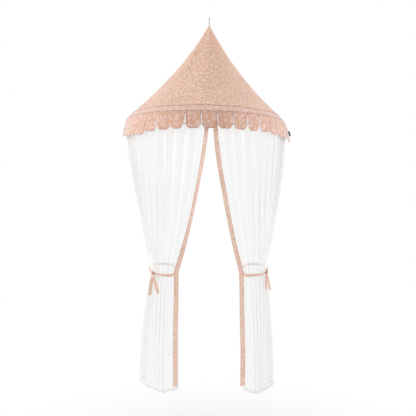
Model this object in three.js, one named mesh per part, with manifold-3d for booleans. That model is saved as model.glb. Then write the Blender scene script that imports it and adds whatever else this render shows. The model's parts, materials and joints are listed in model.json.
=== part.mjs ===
// Bed crown canopy, in millimetres, +Z up. The origin is the hang point, inside the top of the cord loop.
// -Y faces the room and +Y the wall. A printed half-cone hood hangs over a D-shaped hoop, and two sheer
// curtains hang from the hoop, each with a printed binding and drawn in at the waist by a knotted tie.
import * as THREE from 'three';
import { mergeVertices } from 'three/addons/utils/BufferGeometryUtils.js';
import Module from 'manifold-3d';

const wasm = await Module();
wasm.setup();

// Driving dimensions
const loopLength = 60; // hang point down to the hood's tip
const hoodHeight = 610; // tip down to the seam above the band
const seamRadius = 495;
const bandHeight = 46; // seam down to the hoop line
const hoopRadius = 520; // to the middle of the hoop tube
const wallGap = 22; // hang point back to the wall
const waistDrop = 1668; // hang point down to the tie at the binding
const trimDrop = 2345; // hang point down to the binding's lower end
const hemDrop = 2400; // hang point down to the lowest hem
const hangRoll = THREE.MathUtils.degToRad(1); // the crown hangs a little lower on its right
const tipLean = 13; // the tip stands this far right of the hoop's middle

// Cloth, cord and fits
const cottonThickness = 2;
const tulleThickness = 2;
const tapeThickness = 2;
const cordRadius = 2;
const touchGap = 0.3; // between pieces that touch
const stitchGap = 0.8; // between cloth edges that are sewn to each other

// Hood tip
const tipRadius = 7.5;
const tipOpenDegrees = 4; // left open on each side of the back slit, at the tip
const tipWrapShare = 0.085; // of the hood's height, over which the cloth opens to a half round
const straightShare = 0.67; // of the hood's flare that is straight; the rest grows with the square

// Stopper knot on the cord loop, inside the tip
const knotTurnRadius = 6;
const knotCordRadius = 3;
const knotCoreRadius = 7.6;
const knotClearance = 0.75; // to the hood, which rocks on the knot
const strandSpacing = 4.4;
const loopWidth = 12;
// Right-hand strand of the loop, top to bottom: shares of half the loop's width and of its length
const loopRouteShares = [
  [0, 0], [0.62, -0.05], [0.98, -0.17], [0.95, -0.34], [0.7, -0.58], [0.4, -0.84],
];

// Hoop and its fittings
const tubeRadius = 4;
const ferruleWall = 1.5;
const ferruleLength = 50;
const casingClearance = 1.2;
const casingSteps = 6; // facets of the casing's turn round the tube
const casingHem = 14; // inner wall of the casing above the hoop tube's middle
const socketDepth = 8;
const barSocketLength = 26;
const elbowRadius = 8;
const padRadius = 10;
const padThickness = 9;

// Scallops
const lobeCount = 19;
const lobeHeight = 95;
const slitWidth = 4;
const lobeInset = 1.5; // scallop stands inside the band's outer face by this
const lobeTurnDegrees = 2.9; // the cloth sits turned to the right on the hoop, most at the front
const lobeSpreadDegrees = 2.3; // and is drawn out sideways halfway round
const lobeRoundShare = 0.4; // of a scallop's height that is rounded
const lobeTipShare = 0.42; // width left at the very bottom
// Length of each scallop, left to right: the cloth has slipped down at both ends of the hoop
const lobeLengthShares = [
  1, 1.1, 1.18, 1.24, 1.26, 1.1, 1.07, 1.04, 1.02, 1,
  1, 1, 1.02, 0.98, 1.06, 1.12, 1.14, 1.18, 1.2,
];
// Outward lean of each scallop's lower edge, left to right, as shares of its height
const lobeLeanShares = [
  0.19, 0.19, 0.18, 0.16, 0.13, 0.07, 0.03, 0.07, 0.04, 0.05,
  0.07, 0.04, 0.07, 0.06, 0.1, 0.14, 0.19, 0.24, 0.28,
];
const lobeLeanExponent = 1.8; // they spring out under the casing, then fall straight

// Side label, sewn to the back edge of the last scallop
const labelWidth = 13;
const labelHeight = 33;
const labelDrop = 32; // below the hoop line
const labelThickness = 1.2;

// Curtains
const trimWidth = 28;
const headerHeight = 15;
const foldCount = 11;
const columnsPerFold = 4;
const topFold = 9; // half depth of the folds at the hoop
const waistFold = 24;
const hemFold = 26;
const foldTaperShare = 0.08; // of the cloth's width, over which the folds start at each edge
const bindingExponent = 1.5; // curtains hang steep near the hoop and lean in above the tie
const fallExponent = 1.8; // below the tie they spread fast, then fall straight
const waistHalfWidth = 66;
const waistHalfDepth = 84;
const waistFront = 320; // middle of the gathered bunch, forward of the hang point
const trimWaistFront = 415;
const trimHemFront = 396;
const hemLift = 36; // most that the hem rises where the cloth is pulled aside
// The cloth's way round the bunch in plan, from the binding outwards to the back edge: shares of the
// half width outwards and of the half depth towards the room
const waistPathShares = [
  [-0.5, 1.1], [-0.05, 1.04], [0.45, 0.84], [0.82, 0.46], [0.98, -0.04], [0.92, -0.52], [0.62, -0.9],
];
const hemPathShares = [
  [-0.56, 0.86], [-0.22, 0.6], [0.1, 0.26], [0.42, -0.1], [0.72, -0.46], [0.94, -0.8], [0.78, -1.08],
];
const hemLiftShares = [1, 0.3, 0, 0, 0, 0.1, 0.3, 0.4]; // along the same way, binding first

// Tie-backs
const tieWidth = 15;
const tieClearance = 0.6;
const tieTilt = THREE.MathUtils.degToRad(12); // its plane climbs towards the wall
// The tie's way round the bunch's inner side, from the cloth's back edge to behind the binding
const tieClosingShares = [[0.05, -1.22], [-0.6, -0.9], [-1.05, -0.2], [-1.25, 0.6]];
const tieZoneShare = 0.8; // of its width, above and below its middle, where the bunch keeps its section
const tieTaperShare = 0.05; // of the way round, over which it comes out from the binding over the folds
const knotRadius = 10;
const knotHalfDepth = 7;
const tailLayer = 1.8; // each tail lies this far in front of or behind the knot's middle
const tailSlantShare = 0.08; // of a tail's length, between the two corners of its cut end

// Left curtain: the binding and the middle of the bunch outwards at the hoop, the tie and the hem,
// the lower bunch's middle forward of the hang point with half its size, and the tie's tails
const leftTrimTop = 12;
const leftTrimWaist = 197;
const leftTrimHem = 206;
const leftWaistOut = 277;
const leftHemOut = 318;
const leftHemFront = 245;
const leftHemHalfWidth = 116;
const leftHemHalfDepth = 146;
const leftTailLength = 131;
const leftShortTailLength = 117;

// Right curtain
const rightTrimTop = 51;
const rightTrimWaist = 187;
const rightTrimHem = 199;
const rightWaistOut = 270;
const rightHemOut = 302;
const rightHemFront = 290;
const rightHemHalfWidth = 90;
const rightHemHalfDepth = 104;
const rightTailLength = 108;
const rightShortTailLength = 93;

// The back edge falls with its own exponent, and the knot sits at a share of the way round the bunch
const sides = [
  {
    name: 'left',
    sign: -1,
    trimTop: leftTrimTop,
    trimWaist: leftTrimWaist,
    trimHem: leftTrimHem,
    waistOut: leftWaistOut,
    hemOut: leftHemOut,
    hemFront: leftHemFront,
    hemHalfWidth: leftHemHalfWidth,
    hemHalfDepth: leftHemHalfDepth,
    backExponent: 1.45,
    knotShare: 0.46,
    tails: [
      { name: 'a', length: leftTailLength, splay: 14 },
      { name: 'b', length: leftShortTailLength, splay: -22 },
    ],
  },
  {
    name: 'right',
    sign: 1,
    trimTop: rightTrimTop,
    trimWaist: rightTrimWaist,
    trimHem: rightTrimHem,
    waistOut: rightWaistOut,
    hemOut: rightHemOut,
    hemFront: rightHemFront,
    hemHalfWidth: rightHemHalfWidth,
    hemHalfDepth: rightHemHalfDepth,
    backExponent: 1.9,
    knotShare: 0.52,
    tails: [
      { name: 'a', length: rightShortTailLength, splay: 3 },
      { name: 'b', length: rightTailLength, splay: 19 },
    ],
  },
];

// Facets
const roundSides = 12;
const cordSides = 8;
const hoopColumns = 40;
const arcSteps = 32;
const hoodColumns = 32;
const hoodRows = 10;
const tipRowExponent = 1.5; // rows close up towards the tip
const lobeRowExponent = 1.6; // and towards a scallop's rounded end
const upperRows = 8;
const lowerRows = 7;
const closingColumns = 9;
const lobeColumns = 4;
const lobeRows = 6;
const trimColumns = 2;
const labelSteps = 2;
const tailRows = 4;
const ferruleSteps = 6;
const loopSteps = 40;

const cotton = new THREE.MeshStandardMaterial({ color: 0xdcb8a4, roughness: 0.85, side: THREE.DoubleSide });
const binding = new THREE.MeshStandardMaterial({ color: 0xe4c8bb, roughness: 0.85 });
const tulle = new THREE.MeshStandardMaterial({ color: 0xf6f5f4, roughness: 0.7, side: THREE.DoubleSide });
const cord = new THREE.MeshStandardMaterial({ color: 0xd9b5a6, roughness: 0.8 });
const steel = new THREE.MeshStandardMaterial({ color: 0xefeeec, roughness: 0.4 }); // powder coated white
const plastic = new THREE.MeshStandardMaterial({ color: 0xf0efec, roughness: 0.5 });
const labelCloth = new THREE.MeshStandardMaterial({ color: 0x2b3350, roughness: 0.8 });

const canopy = new THREE.Group();
// The crown's own frame has its origin at the hood's tip and is rolled with the hood
const crown = new THREE.Group();
crown.position.set(-tipLean, 0, -loopLength);
crown.rotation.y = hangRoll;
canopy.add(crown);
canopy.updateMatrixWorld(true);

const quarterTurn = Math.PI / 2;
const casingRadius = tubeRadius + touchGap + ferruleWall + casingClearance + cottonThickness / 2;
const hoopLine = -(hoodHeight + bandHeight);
const hoopHeight = hoopLine + casingRadius + cottonThickness / 2;
const gatherRadius = hoopRadius - casingRadius - cottonThickness / 2 - stitchGap - tapeThickness / 2;

function add(parent, name, geometry, material) {
  const mesh = new THREE.Mesh(geometry, material);
  mesh.name = name;
  parent.add(mesh);
  return mesh;
}

const smooth = (value) => THREE.MathUtils.smoothstep(value, 0, 1);

// Point at an angle round the hoop, 0 at the front and positive to the right
function round(angle, radius, height) {
  return new THREE.Vector3(radius * Math.sin(angle), -radius * Math.cos(angle), height);
}

// A closed sheet of even thickness on a middle surface given for s across and t down, both 0 to 1
function sheetSolid(middle, columns, rows, thickness) {
  const points = [];
  for (let j = 0; j <= rows; j++) {
    for (let i = 0; i <= columns; i++) points.push(middle(i / columns, j / rows));
  }
  const at = (i, j) => points[j * (columns + 1) + i];
  const positions = [];
  for (const face of [1, -1]) {
    for (let j = 0; j <= rows; j++) {
      for (let i = 0; i <= columns; i++) {
        const across = at(Math.min(i + 1, columns), j).clone().sub(at(Math.max(i - 1, 0), j));
        const down = at(i, Math.min(j + 1, rows)).clone().sub(at(i, Math.max(j - 1, 0)));
        const normal = across.cross(down).normalize();
        positions.push(...at(i, j).clone().addScaledVector(normal, (face * thickness) / 2).toArray());
      }
    }
  }
  const front = (i, j) => j * (columns + 1) + i;
  const back = (i, j) => front(i, j) + points.length;
  const index = [];
  const quad = (a, b, c, d) => index.push(a, b, c, a, c, d);
  for (let j = 0; j < rows; j++) {
    for (let i = 0; i < columns; i++) {
      quad(front(i, j), front(i + 1, j), front(i + 1, j + 1), front(i, j + 1));
      quad(back(i, j), back(i, j + 1), back(i + 1, j + 1), back(i + 1, j));
    }
    quad(front(0, j), front(0, j + 1), back(0, j + 1), back(0, j));
    quad(back(columns, j), back(columns, j + 1), front(columns, j + 1), front(columns, j));
  }
  for (let i = 0; i < columns; i++) {
    quad(back(i, 0), back(i + 1, 0), front(i + 1, 0), front(i, 0));
    quad(front(i, rows), front(i + 1, rows), back(i + 1, rows), back(i, rows));
  }
  const geometry = new THREE.BufferGeometry();
  geometry.setAttribute('position', new THREE.Float32BufferAttribute(positions, 3));
  geometry.setIndex(index);
  geometry.computeVertexNormals();
  return geometry;
}

// A round rod, or a sleeve if it has a bore, swept along a curve
function rodAlong(curve, radius, sides, steps, bore = 0) {
  const section = new THREE.Shape().absarc(0, 0, radius, 0, 2 * Math.PI);
  if (bore) section.holes.push(new THREE.Path().absarc(0, 0, bore, 0, 2 * Math.PI));
  return new THREE.ExtrudeGeometry(section, { steps, curveSegments: sides / 2, extrudePath: curve });
}

class HoopCurve extends THREE.Curve {
  constructor(from, to) {
    super();
    this.from = from;
    this.to = to;
  }

  getPoint(t, target = new THREE.Vector3()) {
    return target.copy(round(THREE.MathUtils.lerp(this.from, this.to, t), hoopRadius, hoopHeight));
  }
}

function toSolid(geometry) {
  const bare = geometry.clone();
  bare.deleteAttribute('normal');
  bare.deleteAttribute('uv');
  const merged = mergeVertices(bare);
  return new wasm.Manifold(new wasm.Mesh({
    numProp: 3,
    vertProperties: merged.attributes.position.array,
    triVerts: new Uint32Array(merged.index.array),
  }));
}

function toGeometry(solid) {
  const mesh = solid.getMesh();
  const geometry = new THREE.BufferGeometry();
  geometry.setAttribute('position', new THREE.BufferAttribute(mesh.vertProperties, 3));
  geometry.setIndex(new THREE.BufferAttribute(mesh.triVerts, 1));
  geometry.computeVertexNormals();
  return geometry;
}

// Cylinder between two points that differ along one axis
function rodBetween(from, to, radius) {
  return rodAlong(new THREE.LineCurve3(from, to), radius, roundSides, 1);
}

// The hood's radius at a share of its height below the tip
function hoodRadius(share) {
  const flare = straightShare * share + (1 - straightShare) * share * share;
  return tipRadius + (seamRadius - tipRadius) * flare;
}

function makeHood() {
  const slit = THREE.MathUtils.degToRad(tipOpenDegrees);
  const middle = (s, t) => {
    const share = t ** tipRowExponent;
    const half = THREE.MathUtils.lerp(Math.PI - slit, quarterTurn, smooth(share / tipWrapShare));
    const point = round((2 * s - 1) * half, hoodRadius(share), -hoodHeight * share);
    point.x += tipLean * (1 - share);
    return point;
  };
  add(crown, 'hood', sheetSolid(middle, hoodColumns, hoodRows, cottonThickness), cotton);
}

// The casing's section as radius and height: from the seam straight to the turn, round under the hoop
// tube and up inside it
function bandSection() {
  const centre = new THREE.Vector2(hoopRadius, hoopHeight);
  const seam = new THREE.Vector2(seamRadius, -hoodHeight).sub(centre);
  const touch = seam.angle() - Math.acos(casingRadius / seam.length());
  const section = [];
  for (let step = 0; step <= casingSteps; step++) {
    const angle = THREE.MathUtils.lerp(touch, -Math.PI, step / casingSteps);
    section.push(new THREE.Vector2(casingRadius * Math.cos(angle), casingRadius * Math.sin(angle)));
  }
  const fall = section[0].clone().sub(seam).normalize();
  section.unshift(seam.addScaledVector(fall, stitchGap));
  section.push(new THREE.Vector2(-casingRadius, casingHem));
  return section.map((point) => point.add(centre));
}

function makeBand() {
  const section = bandSection();
  const rows = section.length - 1;
  const middle = (s, t) => {
    const point = section[Math.round(t * rows)];
    return round((2 * s - 1) * quarterTurn, point.x, point.y);
  };
  add(crown, 'valance_band', sheetSolid(middle, hoopColumns, rows, cottonThickness), cotton);
}

// Angle of a slit between scallops
function slitAngle(number) {
  const share = (2 * number) / lobeCount - 1;
  const turned = lobeTurnDegrees * (1 - share * share) + lobeSpreadDegrees * Math.sin(Math.PI * share);
  return quarterTurn * share + THREE.MathUtils.degToRad(turned);
}

// A scallop's middle line starts close under the casing, and leans out by this at a share of its length
const lobeRadius = hoopRadius + casingRadius + cottonThickness / 2 - lobeInset;
const lobeInner = lobeRadius - cottonThickness / 2 - hoopRadius;
const lobeTop = hoopHeight - touchGap
  - Math.sqrt((casingRadius + cottonThickness / 2) ** 2 - lobeInner * lobeInner);

function lobeLean(number, t) {
  const length = lobeHeight * lobeLengthShares[number];
  return length * lobeLeanShares[number] * (1 - (1 - t) ** lobeLeanExponent);
}

function makeScallops() {
  const roundStart = 1 - lobeRoundShare;
  for (let number = 0; number < lobeCount; number++) {
    const centre = (slitAngle(number) + slitAngle(number + 1)) / 2;
    const half = (slitAngle(number + 1) - slitAngle(number)) / 2 - slitWidth / 2 / lobeRadius;
    const length = lobeHeight * lobeLengthShares[number];
    const tilt = Math.atan(lobeLeanShares[number] * lobeLeanExponent);
    const top = lobeTop + (cottonThickness / 2) * Math.sin(tilt);
    const middle = (s, row) => {
      const t = 1 - (1 - row) ** lobeRowExponent;
      const rounding = Math.max(0, (t - roundStart) / lobeRoundShare);
      const width = lobeTipShare + (1 - lobeTipShare) * Math.sqrt(1 - rounding * rounding);
      return round(centre + (2 * s - 1) * half * width, lobeRadius + lobeLean(number, t), top - length * t);
    };
    const name = 'scallop_' + String(number + 1).padStart(2, '0');
    add(crown, name, sheetSolid(middle, lobeColumns, lobeRows, cottonThickness), cotton);
  }
}

function makeSideLabel() {
  const length = lobeHeight * lobeLengthShares.at(-1);
  const middle = (s, t) => {
    const height = hoopLine - labelDrop - labelHeight * t;
    const out = lobeRadius + lobeLean(lobeCount - 1, (lobeTop - height) / length);
    return new THREE.Vector3(out + cottonThickness / 2 + touchGap + labelWidth * s, -labelThickness, height);
  };
  add(crown, 'side_label', sheetSolid(middle, labelSteps, labelSteps, labelThickness), labelCloth);
}

function makeHoop() {
  const middleGap = touchGap / hoopRadius;
  const end = quarterTurn + socketDepth / hoopRadius;
  for (const side of sides) {
    const curve = new HoopCurve(side.sign * middleGap, side.sign * end);
    add(crown, `hoop_${side.name}_arc`, rodAlong(curve, tubeRadius, cordSides, arcSteps), steel);
  }
  const ferruleAngle = ferruleLength / 2 / hoopRadius;
  const bore = tubeRadius + touchGap;
  const curve = new HoopCurve(-ferruleAngle, ferruleAngle);
  const sleeve = rodAlong(curve, bore + ferruleWall, roundSides, ferruleSteps, bore);
  add(crown, 'hoop_front_ferrule', sleeve, steel);
}

// Moulded elbow that joins the hoop to the back bar and bears on the wall with a flat pad
function makeCornersAndBar() {
  const barBack = wallGap - padThickness;
  const bore = tubeRadius + touchGap;
  const barEnd = hoopRadius - elbowRadius;
  const along = (x, y) => new THREE.Vector3(x, y, hoopHeight);
  for (const side of sides) {
    const x = side.sign * hoopRadius;
    const socketX = side.sign * (hoopRadius - barSocketLength);
    const barBore = rodBetween(
      along(socketX - side.sign * touchGap, barBack), along(side.sign * (barEnd + touchGap), barBack), bore);
    const ball = new THREE.SphereGeometry(elbowRadius, roundSides, roundSides / 2);
    const body = toSolid(rodBetween(along(x, touchGap), along(x, barBack), elbowRadius))
      .add(toSolid(ball.translate(x, barBack, hoopHeight)))
      .add(toSolid(rodBetween(along(x, barBack), along(socketX, barBack), elbowRadius)))
      .add(toSolid(rodBetween(along(x, barBack), along(x, wallGap), padRadius)))
      .subtract(toSolid(rodBetween(along(x, -touchGap), along(x, socketDepth + touchGap), bore)))
      .subtract(toSolid(barBore));
    add(crown, `hoop_corner_${side.name}`, toGeometry(body), plastic);
  }
  add(crown, 'back_bar', rodBetween(along(-barEnd, barBack), along(barEnd, barBack), tubeRadius), steel);
}

// The loop and its stopper knot, which the hood's tip bears on from above
function makeHangLoop() {
  const slope = (straightShare * (seamRadius - tipRadius)) / hoodHeight;
  const slant = Math.sqrt(1 + slope * slope);
  const tipInside = tipRadius - (cottonThickness / 2) * slant;
  const knotDepth = ((knotCordRadius + knotClearance) * slant + knotTurnRadius - tipInside) / slope;
  const knotHeight = -(loopLength + knotDepth);
  const strand = loopRouteShares.map(([across, down]) => new THREE.Vector3(
    0, (across * loopWidth) / 2, cordRadius + down * loopLength));
  strand.push(new THREE.Vector3(0, strandSpacing / 2, -loopLength));
  strand.push(new THREE.Vector3(0, strandSpacing / 2, knotHeight));
  const mirrored = strand.slice(1).map((point) => new THREE.Vector3(0, -point.y, point.z)).reverse();
  const route = new THREE.CatmullRomCurve3([...mirrored, ...strand], false, 'centripetal');
  const turn = new THREE.TorusGeometry(knotTurnRadius, knotCordRadius, cordSides, roundSides);
  const core = new THREE.SphereGeometry(knotCoreRadius, roundSides, cordSides).rotateX(quarterTurn);
  const loop = toSolid(rodAlong(route, cordRadius, cordSides, loopSteps))
    .add(toSolid(turn.translate(0, 0, knotHeight)))
    .add(toSolid(core.translate(0, 0, knotHeight)));
  add(canopy, 'hang_loop', toGeometry(loop), cord);
}

// Curtains are laid out in plan as distances outwards (x) and towards the room (y), for each side.
// Level runs from 0 at the hoop through 1 at the tie to 2 at the hem.
const tieZone = tieZoneShare * tieWidth;
const upperFlat = 1 - tieZone / (waistDrop - loopLength + hoopLine);
const lowerFlat = tieZone / (hemDrop - waistDrop);

function crownToWorld(x, radiusFront, height) {
  return crown.localToWorld(new THREE.Vector3(x, -radiusFront, height));
}

function pathCurve(first, shares, centre, half) {
  const points = shares.map(([out, front]) => new THREE.Vector3(
    centre.x + out * half.x, centre.y + front * half.y, 0));
  return new THREE.CatmullRomCurve3([first, ...points], false, 'centripetal');
}

for (const side of sides) {
  const edge = trimWidth / 2 + tulleThickness / 2 + touchGap;
  side.edgeX = side.trimTop + side.sign * edge;
  side.startAngle = Math.asin((side.sign * side.edgeX) / gatherRadius);
  side.waist = pathCurve(
    new THREE.Vector3(side.trimWaist + edge, trimWaistFront, 0), waistPathShares,
    new THREE.Vector2(side.waistOut, waistFront), new THREE.Vector2(waistHalfWidth, waistHalfDepth));
  side.hem = pathCurve(
    new THREE.Vector3(side.trimHem + edge, trimHemFront, 0), hemPathShares,
    new THREE.Vector2(side.hemOut, side.hemFront), new THREE.Vector2(side.hemHalfWidth, side.hemHalfDepth));
}

const curtainTop = hoopLine - stitchGap;
const hemLiftCurve = new THREE.CatmullRomCurve3(
  hemLiftShares.map((share) => new THREE.Vector3(share, 0, 0)), false, 'centripetal');

function drapeEase(side, u, level) {
  const exponent = THREE.MathUtils.lerp(bindingExponent, side.backExponent, smooth(u));
  return Math.min(1, level / upperFlat) ** exponent;
}

function fallEase(level) {
  const fallen = Math.max(0, (level - lowerFlat) / (1 - lowerFlat));
  return 1 - (1 - fallen) ** fallExponent;
}

// Height of the tie's middle at a distance towards the room
function tieHeight(front) {
  return (trimWaistFront - front) * Math.tan(tieTilt) - waistDrop;
}

// Smooth way of the cloth at a level, before its folds: plan place with its height as z
function basePoint(side, u, level) {
  const share = THREE.MathUtils.clamp(u, 0, 1);
  const waist = side.waist.getPoint(share);
  waist.z = tieHeight(waist.y);
  if (level > 1) {
    const hem = side.hem.getPoint(share);
    hem.z = -hemDrop + hemLift * hemLiftCurve.getPoint(share).x;
    const height = THREE.MathUtils.lerp(waist.z, hem.z, level - 1);
    return waist.lerp(hem, fallEase(level - 1)).setZ(height);
  }
  const angle = THREE.MathUtils.lerp(side.startAngle, quarterTurn, share);
  const top = crownToWorld(
    side.sign * gatherRadius * Math.sin(angle), gatherRadius * Math.cos(angle), curtainTop);
  const hung = new THREE.Vector3(side.sign * top.x, -top.y, top.z);
  const height = THREE.MathUtils.lerp(hung.z, waist.z, level);
  return hung.lerp(waist, drapeEase(side, share, level)).setZ(height);
}

// Direction away from the bunch, in plan
function outwardAt(side, u, level) {
  const step = 1 / (foldCount * columnsPerFold);
  const way = basePoint(side, u + step, level).sub(basePoint(side, u - step, level));
  return new THREE.Vector3(-way.y, way.x, 0).normalize();
}

function foldDepthAt(side, level) {
  if (level > 1) return THREE.MathUtils.lerp(waistFold, hemFold, fallEase(level - 1));
  return THREE.MathUtils.lerp(topFold, waistFold, drapeEase(side, 1, level));
}

function edgeTaper(u) {
  return smooth(Math.min(u, 1 - u) / foldTaperShare);
}

function planToWorld(side, point) {
  return new THREE.Vector3(side.sign * point.x, -point.y, point.z);
}

function curtainPoint(side, u, level) {
  const fold = foldDepthAt(side, level) * edgeTaper(u) * Math.sin(2 * Math.PI * foldCount * u);
  return planToWorld(side, basePoint(side, u, level).addScaledVector(outwardAt(side, u, level), fold));
}

// Binding: the top end follows the rolled hoop, and its width stays across the view
function trimPoint(side, s, level) {
  const offset = (s - 0.5) * trimWidth;
  const waist = new THREE.Vector3(side.sign * side.trimWaist + offset, -trimWaistFront, -waistDrop);
  if (level > 1) {
    const end = new THREE.Vector3(side.sign * side.trimHem + offset, -trimHemFront, -trimDrop);
    const height = THREE.MathUtils.lerp(waist.z, end.z, level - 1);
    return waist.lerp(end, fallEase(level - 1)).setZ(height);
  }
  const top = crownToWorld(side.trimTop + offset, gatherRadius, curtainTop);
  const height = THREE.MathUtils.lerp(top.z, waist.z, level);
  return top.lerp(waist, drapeEase(side, 0, level)).setZ(height);
}

// Rows keep one short row beside the tie, where the cloth is cut in two half a stitch gap from its middle
function upperLevel(t) {
  const cut = 1 - stitchGap / 2 / (waistDrop - loopLength + hoopLine);
  return t < 1 ? (t * upperRows / (upperRows - 1)) * upperFlat : cut;
}

function lowerLevel(t) {
  const cut = stitchGap / 2 / (hemDrop - waistDrop);
  const first = 1 / lowerRows;
  return t < first ? 1 + cut : 1 + lowerFlat + ((t - first) / (1 - first)) * (1 - lowerFlat);
}

function makeCurtain(side) {
  const columns = foldCount * columnsPerFold;
  for (const [part, level, rows] of [['upper', upperLevel, upperRows], ['lower', lowerLevel, lowerRows]]) {
    const cloth = (s, t) => curtainPoint(side, s, level(t));
    const edge = (s, t) => trimPoint(side, s, level(t));
    add(canopy, `curtain_${part}_${side.name}`, sheetSolid(cloth, columns, rows, tulleThickness), tulle);
    const strip = sheetSolid(edge, trimColumns, rows, cottonThickness);
    add(canopy, `front_trim_${part}_${side.name}`, strip, binding);
  }
}

// Tape inside the casing that the gathers are stitched to, from the binding to the wall end
function makeHeaderTape(side) {
  const inner = Math.asin((side.trimTop - (side.sign * trimWidth) / 2) / gatherRadius);
  const middle = (s, t) => round(
    THREE.MathUtils.lerp(inner, side.sign * quarterTurn, s), gatherRadius, hoopLine + headerHeight * (1 - t));
  add(crown, `header_tape_${side.name}`, sheetSolid(middle, hoopColumns / 2 + 1, 1, tapeThickness), tulle);
}

// The tie's middle lies this far out from the cloth's smooth way: over the folds, but in at the binding
function tieOffset(u) {
  return waistFold * smooth(u / tieTaperShare) + tulleThickness / 2 + tieClearance + tapeThickness / 2;
}

// The tie starts at the binding's seam, goes round the front, the outside and the back, and comes
// round the inner side to end behind the binding
function makeTie(side) {
  const columns = foldCount * columnsPerFold;
  const behind = trimWaistFront - cottonThickness / 2 - touchGap;
  const closing = new THREE.CatmullRomCurve3([
    basePoint(side, 1, 1).addScaledVector(outwardAt(side, 1, 1), tieOffset(1)),
    ...tieClosingShares.map(([out, front]) => new THREE.Vector3(
      side.waistOut + out * waistHalfWidth, waistFront + front * waistHalfDepth, 0)),
    new THREE.Vector3(side.trimWaist, behind, 0),
  ], false, 'centripetal');
  const middle = (s, t) => {
    const station = s * (columns + closingColumns);
    const u = Math.min(1, station / columns);
    const point = station <= columns
      ? basePoint(side, u, 1).addScaledVector(outwardAt(side, u, 1), tieOffset(u))
      : closing.getPoint((station - columns) / closingColumns);
    point.z = tieHeight(point.y) + (0.5 - t) * tieWidth;
    return planToWorld(side, point);
  };
  const tape = sheetSolid(middle, columns + closingColumns, 1, tapeThickness);
  add(canopy, `tieback_band_${side.name}`, tape, binding);
}

function makeKnotAndTails(side) {
  const away = outwardAt(side, side.knotShare, 1);
  const reach = tieOffset(side.knotShare) + tapeThickness / 2 + touchGap + knotHalfDepth;
  const centre = planToWorld(side, basePoint(side, side.knotShare, 1).addScaledVector(away, reach));
  const normal = planToWorld(side, away);
  const ball = new THREE.SphereGeometry(knotRadius, roundSides, cordSides)
    .scale(1, knotHalfDepth / knotRadius, 1);
  const knot = add(canopy, `tieback_knot_${side.name}`, ball, binding);
  knot.position.copy(centre);
  knot.quaternion.setFromUnitVectors(new THREE.Vector3(0, 1, 0), normal);
  const across = new THREE.Vector3(0, 0, 1).cross(normal).multiplyScalar(side.sign);
  side.tails.forEach((tail, order) => {
    const splay = THREE.MathUtils.degToRad(tail.splay);
    const down = new THREE.Vector3(0, 0, -Math.cos(splay)).addScaledVector(across, Math.sin(splay));
    const width = down.clone().cross(normal);
    const layer = centre.clone().addScaledVector(normal, order ? tailLayer : -tailLayer);
    const middle = (s, t) => {
      const fallen = knotRadius + touchGap + tail.length * t * (1 + tailSlantShare * (s - 0.5));
      return layer.clone().addScaledVector(down, fallen).addScaledVector(width, (s - 0.5) * tieWidth);
    };
    const tape = sheetSolid(middle, 1, tailRows, tapeThickness);
    add(canopy, `tieback_tail_${tail.name}_${side.name}`, tape, binding);
  });
}

makeHangLoop();
makeHood();
makeBand();
makeScallops();
makeSideLabel();
makeHoop();
makeCornersAndBar();
for (const side of sides) {
  makeHeaderTape(side);
  makeCurtain(side);
  makeTie(side);
  makeKnotAndTails(side);
}

export default canopy;
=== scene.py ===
import json
import math

import bpy
import numpy as np
from mathutils import Matrix, Vector


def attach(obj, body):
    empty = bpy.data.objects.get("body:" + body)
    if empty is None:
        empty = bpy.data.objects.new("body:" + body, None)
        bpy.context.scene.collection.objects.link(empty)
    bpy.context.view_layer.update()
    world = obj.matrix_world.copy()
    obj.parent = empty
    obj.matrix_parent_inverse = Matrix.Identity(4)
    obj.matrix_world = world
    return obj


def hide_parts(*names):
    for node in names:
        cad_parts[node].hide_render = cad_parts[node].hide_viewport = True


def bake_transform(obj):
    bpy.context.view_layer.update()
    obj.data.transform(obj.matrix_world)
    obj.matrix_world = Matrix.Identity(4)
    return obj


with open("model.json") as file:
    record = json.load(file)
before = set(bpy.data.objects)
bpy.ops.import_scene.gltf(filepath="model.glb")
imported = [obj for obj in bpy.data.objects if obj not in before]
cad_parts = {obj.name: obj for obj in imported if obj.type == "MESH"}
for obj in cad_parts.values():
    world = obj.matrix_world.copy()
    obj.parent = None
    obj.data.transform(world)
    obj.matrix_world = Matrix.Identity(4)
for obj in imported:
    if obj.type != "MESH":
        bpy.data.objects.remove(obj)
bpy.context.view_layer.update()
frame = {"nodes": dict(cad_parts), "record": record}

# Bed crown canopy, in metres: x to the right, y into the wall, z up, origin at the hang point.
joints = {joint["name"]: joint for joint in frame["record"]["behaviour"]["joints"]}
print("frame loaded:", len(frame["nodes"]), "nodes")


def linear(code):
    parts = [int(code[i:i + 2], 16) / 255 for i in (0, 2, 4)]
    return [((c + 0.055) / 1.055) ** 2.4 if c > 0.04045 else c / 12.92 for c in parts] + [1.0]


def smooth(value):
    x = np.clip(value, 0.0, 1.0)
    return x * x * (3 - 2 * x)


def mix(a, b, share):
    return a + (b - a) * share


# a key is an input's name or number, or a property; a node given as a link lends its first output
def setNode(node, settings=None, links=None):
    for key, value in (settings or {}).items():
        if isinstance(key, int) or key in node.inputs:
            node.inputs[key].default_value = value
        else:
            setattr(node, key, value)
    for key, source in (links or {}).items():
        socket = source.outputs[0] if isinstance(source, bpy.types.Node) else source
        node.id_data.links.new(socket, node.inputs[key])
    return node


def addNode(tree, kind, settings=None, links=None):
    return setNode(tree.nodes.new("ShaderNode" + kind), settings, links)


def newMaterial(name):
    material = bpy.data.materials.new(name)
    material.use_nodes = True
    tree = material.node_tree
    tree.nodes.clear()
    shader = addNode(tree, "BsdfPrincipled")
    addNode(tree, "OutputMaterial", links={0: shader})
    return material, tree, shader


# the wave texture turns through 20 radians to a unit
def bandScale(spacing):
    return 2 * math.pi / 20 / spacing


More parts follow.
